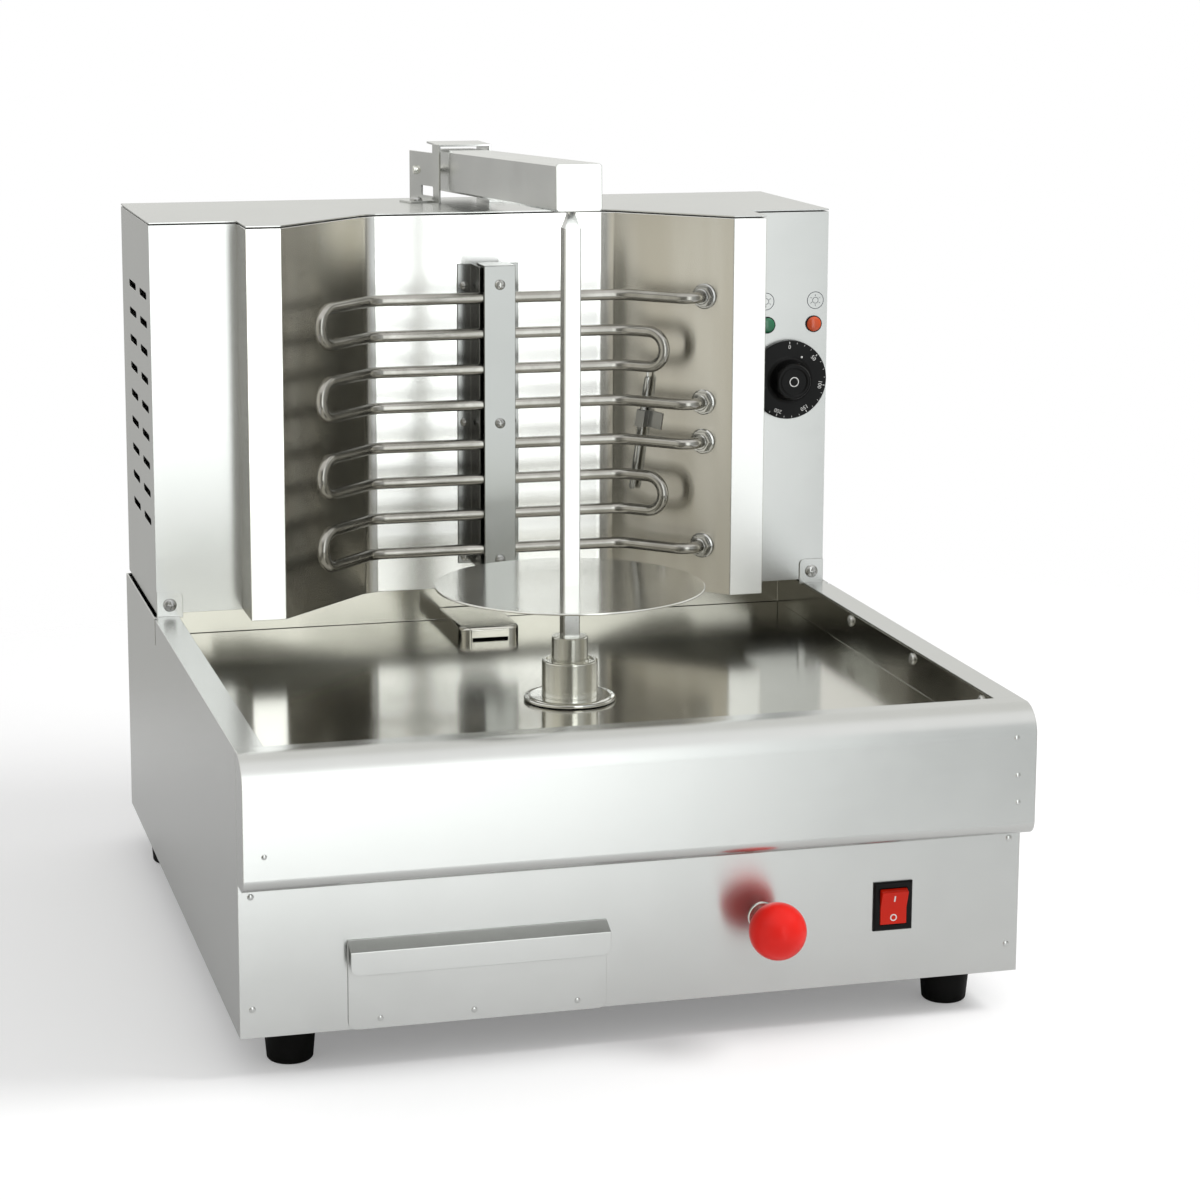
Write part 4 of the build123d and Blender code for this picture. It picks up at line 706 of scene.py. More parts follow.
@dataclass(frozen=True)
class ScrewHead:
    """A pan head with a cross recess."""

    radius: float = 4.0
    height: float = 2.4
    slot_half: float = 0.42
    slot_reach: float = 2.1
    slot_depth: float = 1.1

    def mesh(self) -> Mesh:
        """Builds the head, looking along Z from its base."""
        r, h = self.radius, self.height
        mesh = lathe([(0, h), (0.45 * r, 0.97 * h), (0.8 * r, 0.75 * h), (r, 0.3 * h), (r, 0), (0, 0)], 24)
        for axis in (Vector((1, 0, 0)), Vector((0, 1, 0))):
            for offset in (-self.slot_reach, -self.slot_half, self.slot_half, self.slot_reach):
                cut(mesh, axis * offset, axis)
        recess = [f for f in mesh.faces if f.normal.z > 0.3 and self.in_cross(f.calc_center_median())]
        sunk = bmesh.ops.extrude_face_region(mesh, geom=recess)["geom"]
        floor = [v for v in sunk if isinstance(v, bmesh.types.BMVert)]
        bmesh.ops.translate(mesh, vec=(0, 0, -self.slot_depth), verts=floor)
        bmesh.ops.recalc_face_normals(mesh, faces=mesh.faces)
        return mesh

    def in_cross(self, point: Vector) -> bool:
        """Whether a point of the top lies in the cross."""
        x, y = abs(point.x), abs(point.y)
        return max(x, y) < self.slot_reach and min(x, y) < self.slot_half


@dataclass(frozen=True)
class Rivet:
    """A low round rivet head."""

    radius: float = 2.0
    height: float = 0.8

    def mesh(self) -> Mesh:
        """Builds the head, looking along Z from its base."""
        r, h = self.radius, self.height
        return lathe([(0, h), (0.5 * r, 0.9 * h), (0.85 * r, 0.55 * h), (r, 0), (0, 0)], 20)


# Sub-assemblies
@dataclass
class SubAssembly:
    """A group of pieces that belong together."""

    palette: Palette
    sheet: float = 1.2
    weld: float = 0.004
    flat_angle: float = 0.5
    eased_angle: float = 30.0
    front_y: float = -243.25
    back_y: float = 274.75
    column_y: float = 120.75
    spit_y: float = -73.25
    control_z: float = 75.0

    def publish(
        self, mesh: Mesh, name: str, body: Body, finish: Finish, slot: Slot | None = None,
        nodes: tuple[str, ...] = (), smooth: float = 32.0,
    ) -> bpy.types.Object:
        """Makes a finished piece from a mesh in millimetres.

        Args:
            mesh: The mesh, which is freed.
            name: The piece's name.
            body: The body that it rides on.
            finish: Its finish.
            slot: The record's slot that the finish stands for, if it has one. It is not used.
            nodes: The model's nodes that it replaces.
            smooth: The angle from which an edge shows as sharp, in degrees.

        Returns:
            The piece.
        """
        bmesh.ops.scale(mesh, vec=(MM, MM, MM), verts=mesh.verts)
        data = bpy.data.meshes.new(name)
        mesh.to_mesh(data)
        mesh.free()
        data.shade_smooth()
        data.set_sharp_from_angle(angle=radians(smooth))
        data.materials.append(self.palette.material(finish))
        piece = bpy.data.objects.new(name, data)
        bpy.context.scene.collection.objects.link(piece)
        level = piece.modifiers.new("level_faces", "WEIGHTED_NORMAL")
        level.mode, level.weight, level.keep_sharp = "FACE_AREA", 100, True
        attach(piece, body.value)
        if nodes:
            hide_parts(*nodes)
        log.info("%s rides on %s with %d faces", name, body.value, len(data.polygons))
        return piece

    def soften(
        self, node: str, body: Body, finish: Finish, slot: Slot, width: float = 0.3,
        reshape: Callable[[Mesh], None] | None = None,
    ) -> bpy.types.Object:
        """Replaces a node by a copy of it with eased edges.

        Args:
            node: The model's node.
            body: Its body.
            finish: Its finish.
            slot: Its slot in the record, passed on to publish, which doesn't use it.
            width: The width of the eased edges.
            reshape: A last change to the copy's mesh.

        Returns:
            The piece.
        """
        mesh = bmesh.new()
        mesh.from_mesh(frame["nodes"][node].data)
        bmesh.ops.scale(mesh, vec=(1 / MM, 1 / MM, 1 / MM), verts=mesh.verts)
        bmesh.ops.remove_doubles(mesh, verts=mesh.verts, dist=self.weld)
        if reshape:
            reshape(mesh)
        bmesh.ops.dissolve_limit(
            mesh, angle_limit=radians(self.flat_angle), use_dissolve_boundaries=False, verts=mesh.verts,
            edges=mesh.edges,
        )
        piece = self.publish(mesh, f"{node}_eased", body, finish, slot, (node,))
        eased = piece.modifiers.new("eased_edges", "BEVEL")
        eased.width, eased.segments, eased.profile = width * MM, 2, 0.5
        eased.limit_method, eased.angle_limit = "ANGLE", radians(self.eased_angle)
        eased.use_clamp_overlap = True
        # The faces are levelled after the easing
        piece.modifiers.move(1, 0)
        return piece

    def screws(self, name: str, places: list[Matrix], head: ScrewHead = ScrewHead()) -> bpy.types.Object:
        """A set of screw heads on the base."""
        return self.publish(repeated(head.mesh(), places), name, Body.BASE, Finish.SCREW, Slot.SCREW)

    def rivets(self, name: str, places: list[Matrix], body: Body, rivet: Rivet = Rivet()) -> bpy.types.Object:
        """A set of rivet heads."""
        return self.publish(repeated(rivet.mesh(), places), name, body, Finish.CASING, Slot.CASING)

    def build(self) -> None:
        """Builds every piece of the sub-assembly."""
        raise NotImplementedError


@dataclass
class BaseCabinet(SubAssembly):
    """The base with its feet, apron, tray and drain."""

    foot_height: float = 26.0
    foot_top: float = 16.5
    foot_bottom: float = 14.0
    foot_bore: float = 5.0
    foot_bore_depth: float = 9.0
    front_foot: Pair = (210.0, -210.25)
    rear_foot: Pair = (224.0, 206.75)
    apron_y: float = -265.25
    tray_x: float = 227.5
    tray_screw_z: float = 194.5
    tray_screw_ys: tuple[float, ...] = (-218.25, -100.25, 17.75)
    panel_rivet_x: float = 237.5
    panel_rivet_zs: tuple[float, ...] = (43.8, 112.4)
    apron_rivets: tuple[Pair, ...] = (
        (231.5, 182.8), (232.9, 159.0), (233.4, 141.9), (-232.6, 142.7),
    )
    hood_box: tuple[float, ...] = (-32.0, 12.0, 105.75, 176.75, 175.0, 184.0)
    hood_corner: float = 8.0
    hood_shoulder: float = 2.6
    inlet: Pair = (26.0, 1.6)

    def foot(self, side: int, spot: Pair, node: str) -> None:
        """One rubber foot with its recessed screw hole."""
        rim = self.foot_bottom - 1.4
        profile = [
            (0, self.foot_bore_depth), (self.foot_bore, self.foot_bore_depth), (self.foot_bore, 0), (rim, 0),
            (self.foot_bottom, 1.4), (self.foot_top - 0.5, self.foot_height - 2.2),
            (self.foot_top, self.foot_height), (0, self.foot_height),
        ]
        mesh = moved(ease(lathe(profile, 48), 0.5), Matrix.Translation((side * spot[0], spot[1], 0)))
        self.publish(mesh, f"{node}_rubber", Body.BASE, Finish.RUBBER, Slot.RUBBER, (node,))

    def hood(self) -> Mesh:
        """The pressed cover over the drain: rounded corners and shoulders, and a slot at the front."""
        x0, x1, y0, y1, z0, z1 = self.hood_box
        width, length, height = x1 - x0, y1 - y0, z1 - z0
        mesh = bmesh.new()
        bmesh.ops.create_cube(mesh, size=1.0, matrix=Matrix.Diagonal((width, length, height, 1)))
        front = [e for e in mesh.edges if all(v.co.y < 0 for v in e.verts)]
        corners = [e for e in front if abs(e.verts[0].co.z - e.verts[1].co.z) > 1]
        round_off(mesh, corners, self.hood_corner, 8)
        top = [e for e in mesh.edges if all(v.co.z > 0 for v in e.verts)]
        round_off(mesh, top, self.hood_shoulder, 5)
        bmesh.ops.delete(mesh, geom=[f for f in mesh.faces if f.normal.z < -0.9], context="FACES_ONLY")
        half, lintel = self.inlet[0] / 2, self.inlet[1] - height / 2
        for x in (-half, half):
            cut(mesh, Vector((x, 0, 0)), Vector((1, 0, 0)))
        cut(mesh, Vector((0, 0, lintel)), Vector((0, 0, 1)))
        front = [(f, f.calc_center_median()) for f in mesh.faces if f.normal.y < -0.9]
        slot = [f for f, middle in front if abs(middle.x) < half and middle.z < lintel]
        bmesh.ops.delete(mesh, geom=slot, context="FACES")
        bmesh.ops.solidify(mesh, geom=mesh.faces[:], thickness=self.sheet)
        bmesh.ops.recalc_face_normals(mesh, faces=mesh.faces)
        return moved(mesh, Matrix.Translation(((x0 + x1) / 2, (y0 + y1) / 2, (z0 + z1) / 2)))

    def build(self) -> None:
        """Builds the sheets, the feet, the rivets and the tray's screws."""
        for node in ("base_side_left", "base_side_right", "base_front_panel", "base_back_panel"):
            self.soften(node, Body.BASE, Finish.CASING, Slot.CASING)
        self.soften("front_apron", Body.BASE, Finish.CASING, Slot.CASING, 0.4)
        self.soften("drip_tray", Body.BASE, Finish.TRAY, Slot.CASING, 0.4)
        hood = self.hood()
        # The hood takes the tray's darker finish in place of polished steel, as painted shade for the shadow
        # on its top
        self.publish(hood, "drain_hood_pressed", Body.BASE, Finish.TRAY, Slot.POLISHED, ("drain_hood",), 40.0)
        for node in ("base_bottom_plate", "grease_chute"):
            self.soften(node, Body.BASE, Finish.INNER, Slot.INNER)
        for name, side in (("left", -1), ("right", 1)):
            self.foot(side, self.front_foot, f"foot_front_{name}")
            self.foot(side, self.rear_foot, f"foot_rear_{name}")
        corners = [(side * self.panel_rivet_x, z) for side in (-1, 1) for z in self.panel_rivet_zs]
        self.rivets("panel_rivets", [Facing.FRONT.at(x, self.front_y, z) for x, z in corners], Body.BASE)
        apron = [Facing.FRONT.at(x, self.apron_y, z) for x, z in self.apron_rivets]
        self.rivets("apron_rivets", apron, Body.BASE, Rivet(1.7, 0.6))
        heads = []
        for y in self.tray_screw_ys:
            heads.append(Facing.RIGHT.at(-self.tray_x, y, self.tray_screw_z))
            heads.append(Facing.LEFT.at(self.tray_x, y, self.tray_screw_z))
        self.screws("tray_screws", heads)


@dataclass
class UpperBody(SubAssembly):
    """The housing over the base: side shells, reflector, cover and back."""

    tab_screw: Pair = (233.5, 209.0)
    back_screw_x: float = 234.3
    back_screw_zs: tuple[float, ...] = (231.0, 337.75, 444.5)
    ring_xs: tuple[float, ...] = (196.2, 233.5)
    ring_z: float = 407.0
    ring_radius: float = 6.3
    ring_width: float = 0.5
    mark_centre: Pair = (1.9, 2.3)
    ray_size: Pair = (0.4, 1.3)
    ray_radius: float = 3.6
    rays: int = 6
    vent_ys: tuple[float, ...] = (158.75, 216.75)
    vent_half: float = 15.0
    vent_stretch: float = 4.0
    vent_zs: Pair = (250.0, 430.0)

    def stretch_vents(self, mesh: Mesh) -> None:
        """Draws each cooling slot out at both ends."""
        for vertex in mesh.verts:
            for y in self.vent_ys:
                off = vertex.co.y - y
                if self.vent_zs[0] < vertex.co.z < self.vent_zs[1] and abs(off) < self.vent_half + 0.1:
                    vertex.co.y += self.vent_stretch if off > 0 else -self.vent_stretch

    def mark(self) -> Mesh:
        """The printed mark over a lamp: a ring, and short rays round a smaller one."""
        outer = washer(self.ring_radius - self.ring_width, self.ring_radius, PRINT)
        outward = Matrix.Translation((0, self.ray_radius, 0))
        turns = [Matrix.Rotation(i * 2 * pi / self.rays, 4, "Z") for i in range(self.rays)]
        rays = [slab(*self.ray_size, PRINT, turn @ outward) for turn in turns]
        return joined(outer, washer(*self.mark_centre, PRINT), *rays)

    def build(self) -> None:
        """Builds the sheets, the screws and the two printed marks."""
        for node in ("upper_shell_left", "upper_shell_right"):
            self.soften(node, Body.BASE, Finish.CASING, Slot.CASING, 0.15, reshape=self.stretch_vents)
        for node in ("top_cover", "upper_back_panel"):
            self.soften(node, Body.BASE, Finish.CASING, Slot.CASING)
        self.soften("reflector", Body.BASE, Finish.REFLECTOR, Slot.REFLECTOR, 0.4)
        self.soften("upper_floor", Body.BASE, Finish.INNER, Slot.INNER)
        x, z = self.tab_screw
        tabs = [Facing.FRONT.at(side * x, self.column_y - self.sheet, z) for side in (-1, 1)]
        self.screws("tab_screws", tabs, ScrewHead(4.6, 2.6))
        backs = [
            Facing.BACK.at(side * self.back_screw_x, self.back_y, z)
            for side in (-1, 1) for z in self.back_screw_zs
        ]
        self.screws("back_screws", backs)
        rings = [Facing.FRONT.at(x, self.column_y, self.ring_z) for x in self.ring_xs]
        self.publish(repeated(self.mark(), rings), "column_marks", Body.BASE, Finish.GREY_PRINT)


@dataclass
class HeatingBank(SubAssembly):
    """The two bent elements, their bosses, the clamp and the thermostat's bulb."""

    tube_radius: float = 4.0
    tube_y: float = 122.75
    panel_standoff: float = 19.8
    corner_x: float = 87.0 + 31.0 - panel_standoff * sqrt(2)
    top_zs: tuple[float, ...] = (415.0, 312.0)
    pitch: float = 25.0
    runs: int = 4
    left_reach: float = 61.5
    right_reach: float = 34.0
    terminal_reach: float = 55.2
    tail: float = 20.0
    panel_bend: float = 20.0
    terminal_bend: float = 11.0
    clamp_y: float = 116.75
    clamp_screw_zs: tuple[float, ...] = (424.6, 327.2, 229.8)
    wall_y: float = 153.75
    channel_screw_x: float = 17.2
    bulb_radius: float = 2.3
    bulb_length: float = 84.0
    bulb_gap: float = 1.9
    bulb_z: float = 356.0
    bulb_reach: float = 12.7
    bulb_lean: float = 8.6

    def before_panel(self, reach: float, standoff: float, z: float = 0.0, side: int = 1) -> Vector:
        """A point in front of an angled panel: its reach from the wall and its standoff."""
        step = self.panel_standoff - standoff
        x = self.corner_x + (reach + step) / sqrt(2)
        return Vector((side * x, self.tube_y + (step - reach) / sqrt(2), z))

    def element(self, top: float) -> Mesh:
        """One element, bent into its runs, both ends going in through the panel."""
        turn = self.pitch / 2 - 0.1
        points = [self.before_panel(self.terminal_reach, -self.tail, top)]
        bends: list[float] = []
        for run in range(self.runs):
            z = top - run * self.pitch
            outer = run in (0, self.runs - 1)
            reach = self.terminal_reach if outer else self.right_reach
            stretch = [
                self.before_panel(reach, self.panel_standoff, z), Vector((self.corner_x, self.tube_y, z)),
                Vector((-self.corner_x, self.tube_y, z)),
                self.before_panel(self.left_reach, self.panel_standoff, z, -1),
            ]
            radii = [self.terminal_bend if outer else turn, self.panel_bend, self.panel_bend, turn]
            points += stretch[::-1] if run % 2 else stretch
            bends += radii[::-1] if run % 2 else radii
        points.append(self.before_panel(self.terminal_reach, -self.tail, top - (self.runs - 1) * self.pitch))
        return bent_tube(points, bends, self.tube_radius)

    def boss(self) -> Mesh:
        """A flanged boss with a nut before the panel and one behind it."""
        bore = self.tube_radius + 0.05
        flange = lathe([(bore, 0), (9.0, 0), (9.0, 1.2), (8.2, 2.0), (bore, 2.0), (bore, 0)], 40)
        nut = moved(hexagon(7.8, 3.6), Matrix.Translation((0, 0, 2.0)))
        collar = lathe([(bore, 5.6), (5.6, 5.6), (5.6, 6.1), (5.0, 6.5), (bore, 6.5), (bore, 5.6)], 32)
        neck = washer(bore, 6.0, 0, 32, -5.2)
        lock = moved(hexagon(7.8, 4.0), Matrix.Translation((0, 0, -5.2)))
        return joined(flange, nut, collar, neck, lock)

    def bulb(self) -> Mesh:
        """The bulb hanging before the panel, with its capillary turned into the panel."""
        r, length = self.bulb_radius, self.bulb_length
        top = self.before_panel(self.bulb_reach, self.bulb_gap + r, self.bulb_z)
        lean = tan(radians(self.bulb_lean)) / sqrt(2)
        down = Vector((-lean, lean, -1)).normalized()
        inward = Vector((1, 1, 0)).normalized()
        end = [(0, 0), (0.6 * r, 0.25 * r), (r, r)]
        profile = end + [(radius, length - height) for radius, height in end[::-1]]
        body = moved(lathe(profile, 24), place(inward.cross(down), down, top))
        bend = top + Vector((0, 0, 8.0))
        far = bend + inward * (self.bulb_gap + r + self.tail)
        stem = bent_tube([top + down * r, bend, far], [2.0], 1.0, 10)
        return joined(body, stem)

    def build(self) -> None:
        """Builds the bank."""
        for name, top in zip(("upper", "lower"), self.top_zs):
            node = f"heating_element_{name}"
            self.publish(self.element(top), f"{node}_sheath", Body.BASE, Finish.TUBE, Slot.TUBE, (node,))
        drop = (self.runs - 1) * self.pitch
        levels = [z for top in self.top_zs for z in (top, top - drop)]
        up, normal = Vector((0, 0, 1)), Vector((-1, -1, 0))
        seats = [place(up, normal, self.before_panel(self.terminal_reach, 0, z)) for z in levels]
        bosses = repeated(self.boss(), seats)
        self.publish(bosses, "element_bosses_nuts", Body.BASE, Finish.SCREW, Slot.SCREW, ("element_bosses",))
        self.soften("element_channel", Body.BASE, Finish.STRIP, Slot.REFLECTOR)
        self.soften("element_clamp", Body.BASE, Finish.STRIP, Slot.REFLECTOR, 0.4)
        clamps = [Facing.FRONT.at(0, self.clamp_y, z) for z in self.clamp_screw_zs]
        self.screws("clamp_screws", clamps, ScrewHead(3.6, 2.0))
        sheet = self.wall_y - self.sheet
        flanges = [
            Facing.FRONT.at(side * self.channel_screw_x, sheet, z - 4.0)
            for side in (-1, 1) for z in self.clamp_screw_zs
        ]
        self.screws("channel_screws", flanges, ScrewHead(3.2, 2.2))
        self.publish(
            self.bulb(), "capillary_bulb_drawn", Body.BASE, Finish.SCREW, Slot.SCREW, ("capillary_bulb",)
        )
        self.soften("capillary_clip", Body.BASE, Finish.INNER, Slot.INNER, 0.15)


@dataclass
class SpitDrive(SubAssembly):
    """The skewer, its plate and socket, and the sliding drive under the tray."""

    disc_z: float = 175.3
    socket_z: float = 178.3
    plate_top: float = 251.0
    plate_radius: float = 87.5
    plate_sheet: float = 1.5
    guide_x: float = 52.0
    guide_z: float = 145.2
    guide_ends: Pair = (-168.25, 21.75)
    guide_radius: float = 5.0
    rod_x: float = 76.5
    rod_radius: float = 4.0
    ball_y: float = -273.25
    ball_radius: float = 17.5
    ball_flat: float = 1.5
    rod_end: float = -100.25
    nut_ys: tuple[float, ...] = (-120.25, -112.25)

    def on_axis(self, z: float = 0.0) -> Matrix:
        """A place on the spit's axis."""
        return Facing.UP.at(0, self.spit_y, z)

    def bar_y(self, x: float, z: float, ends: Pair, radius: float) -> Mesh:
        """A round bar along Y with eased ends."""
        length = ends[1] - ends[0]
        bar = lathe([(0, 0), (radius, 0), (radius, length), (0, length)], 32)
        return moved(ease(bar, 0.5), Facing.BACK.at(x, ends[0], z))

    def disc(self) -> Mesh:
        """The cover disc: a flat centre, a groove and a rolled rim, hollow underneath."""
        profile = [
            (7.1, 1.8), (26.0, 1.8), (26.0, 0), (29.0, 0), (29.7, 0.4), (30.0, 1.0), (30.0, 1.6),
            (29.7, 2.2), (29.0, 2.5), (28.2, 2.3), (27.5, 1.9), (26.9, 1.9), (26.4, 2.6), (25.6, 3.0),
            (7.1, 3.0), (7.1, 1.8),
        ]
        return lathe(profile, 96)

    def socket(self) -> Mesh:
        """The stepped socket with a recess round its upper collar, and the shaft below."""
        profile = [
            (0, -33.3), (7.0, -33.3), (7.0, 0), (17.9, 0), (17.9, 0.3), (18.2, 0.6), (18.2, 4.0),
            (17.75, 4.2), (17.75, 4.7), (18.2, 4.9), (18.2, 22.4), (17.9, 23.1), (17.1, 23.5), (15.6, 23.5),
            (15.2, 23.1), (15.2, 22.3), (12.4, 22.3), (12.4, 22.9), (11.8, 23.5), (11.8, 38.2), (11.5, 38.8),
            (10.9, 39.0), (0, 39.0),
        ]
        return lathe(profile, 72)

    def plate(self) -> Mesh:
        """The round plate with a softly rounded edge and its hub below."""
        r, t = self.plate_radius, self.plate_sheet
        turns = [radians(i) for i in range(-90, 91, 30)]
        edge = [(r - t / 2 + t / 2 * cos(a), -t / 2 + t / 2 * sin(a)) for a in turns]
        return lathe([(0, -t - 4.0), (8.4, -t - 4.0), (9.0, -t - 3.4), (9.0, -t)] + edge + [(0, 0)], 128)

    def ball(self) -> Mesh:
        """The ball knob with its flat towards the casing."""
        mesh = bmesh.new()
        bmesh.ops.create_uvsphere(mesh, u_segments=64, v_segments=40, radius=self.ball_radius)
        low = -self.ball_radius + self.ball_flat
        cut(mesh, Vector((0, 0, low)), Vector((0, 0, 1)), True)
        bmesh.ops.holes_fill(mesh, edges=[e for e in mesh.edges if e.is_boundary], sides=0)
        return mesh

    def build(self) -> None:
        """Builds the spit, the drive and the rod with its ball."""
        spit, turned = Body.SPIT, Finish.TURNED
        disc = moved(self.disc(), self.on_axis(self.disc_z))
        self.publish(disc, "seal_disc_pressed", spit, Finish.POLISHED, Slot.POLISHED, ("seal_disc",))
        socket = moved(self.socket(), self.on_axis(self.socket_z))
        self.publish(socket, "drive_socket_turned", spit, turned, Slot.POLISHED, ("drive_socket",), 25.0)
        plate = moved(self.plate(), self.on_axis(self.plate_top))
        self.publish(plate, "meat_plate_polished", spit, Finish.PLATE, Slot.POLISHED, ("meat_plate",), 40.0)
        self.soften("skewer", spit, Finish.BAR, Slot.BAR, 0.25)
        self.soften("drive_carriage", Body.CARRIAGE, Finish.INNER, Slot.INNER)
        self.soften("gear_motor", Body.CARRIAGE, Finish.MOTOR, Slot.MOTOR)
        rods = joined(*(
            self.bar_y(side * self.guide_x, self.guide_z, self.guide_ends, self.guide_radius)
            for side in (-1, 1)
        ))
        self.publish(rods, "guide_rods_ground", Body.BASE, turned, Slot.INNER, ("guide_rods",))
        self.soften("rail_brackets", Body.BASE, Finish.INNER, Slot.INNER)
        rod = self.bar_y(self.rod_x, self.control_z, (self.ball_y, self.rod_end), self.rod_radius)
        nuts = [moved(hexagon(7.5, 5.0), Facing.BACK.at(self.rod_x, y, self.control_z)) for y in self.nut_ys]
        self.publish(joined(rod, *nuts), "pull_rod_drawn", Body.CARRIAGE, Finish.BAR, Slot.BAR, ("pull_rod",))
        ball = moved(self.ball(), Facing.FRONT.at(self.rod_x, self.ball_y, self.control_z))
        self.publish(ball, "ball_knob_moulded", Body.CARRIAGE, Finish.BALL, Slot.RED, ("ball_knob",))
        profile = [
            (4.05, 0), (8.6, 0), (9.0, 0.4), (9.0, 1.2), (7.45, 1.2), (7.45, 13.2), (4.05, 13.2), (4.05, 0),
        ]
        bush = moved(lathe(profile, 48), Facing.BACK.at(self.rod_x, self.front_y - 1.2, self.control_z))
        self.publish(bush, "rod_bush_turned", Body.BASE, turned, Slot.INNER, ("rod_bush",))


@dataclass
class ArmAndSaddle(SubAssembly):
    """The square arm over the spit, its saddle and its pin."""

    pivot: Pair = (256.75, 494.5)
    foot_z: float = 474.0
    saddle_x: float = 18.0
    right_screw: Pair = (28.5, 232.75)
    left_screw: Pair = (-33.05, 238.16)
    pin_left: float = -31.4

    def pin(self) -> Mesh:
        """The hinge pin with a domed head at its right end."""
        end = self.saddle_x + 1.5
        length = end - self.pin_left
        profile = [
            (0, 0), (2.6, 0), (3.0, 0.4), (3.0, length), (4.5, length), (4.5, length + 0.8),
            (3.6, length + 1.7), (0, length + 2.0),
        ]
        return moved(lathe(profile, 32), Facing.RIGHT.at(self.pin_left, *self.pivot))

    def build(self) -> None:
        """Builds the arm, its cap, the saddle, the pin and the saddle's screws."""
        self.soften("support_arm", Body.ARM, Finish.ARM, Slot.BAR, 0.4)
        self.soften("arm_end_cap", Body.ARM, Finish.ARM, Slot.BAR, 0.4)
        self.soften("saddle_bracket", Body.BASE, Finish.ARM, Slot.CASING)
        pin = self.pin()
        self.publish(pin, "arm_hinge_pin_turned", Body.BASE, Finish.TURNED, Slot.BAR, ("arm_hinge_pin",))
        feet = [Facing.UP.at(*self.right_screw, self.foot_z), Facing.UP.at(*self.left_screw, self.foot_z)]
        self.screws("saddle_screws", feet, ScrewHead(4.4, 2.6))


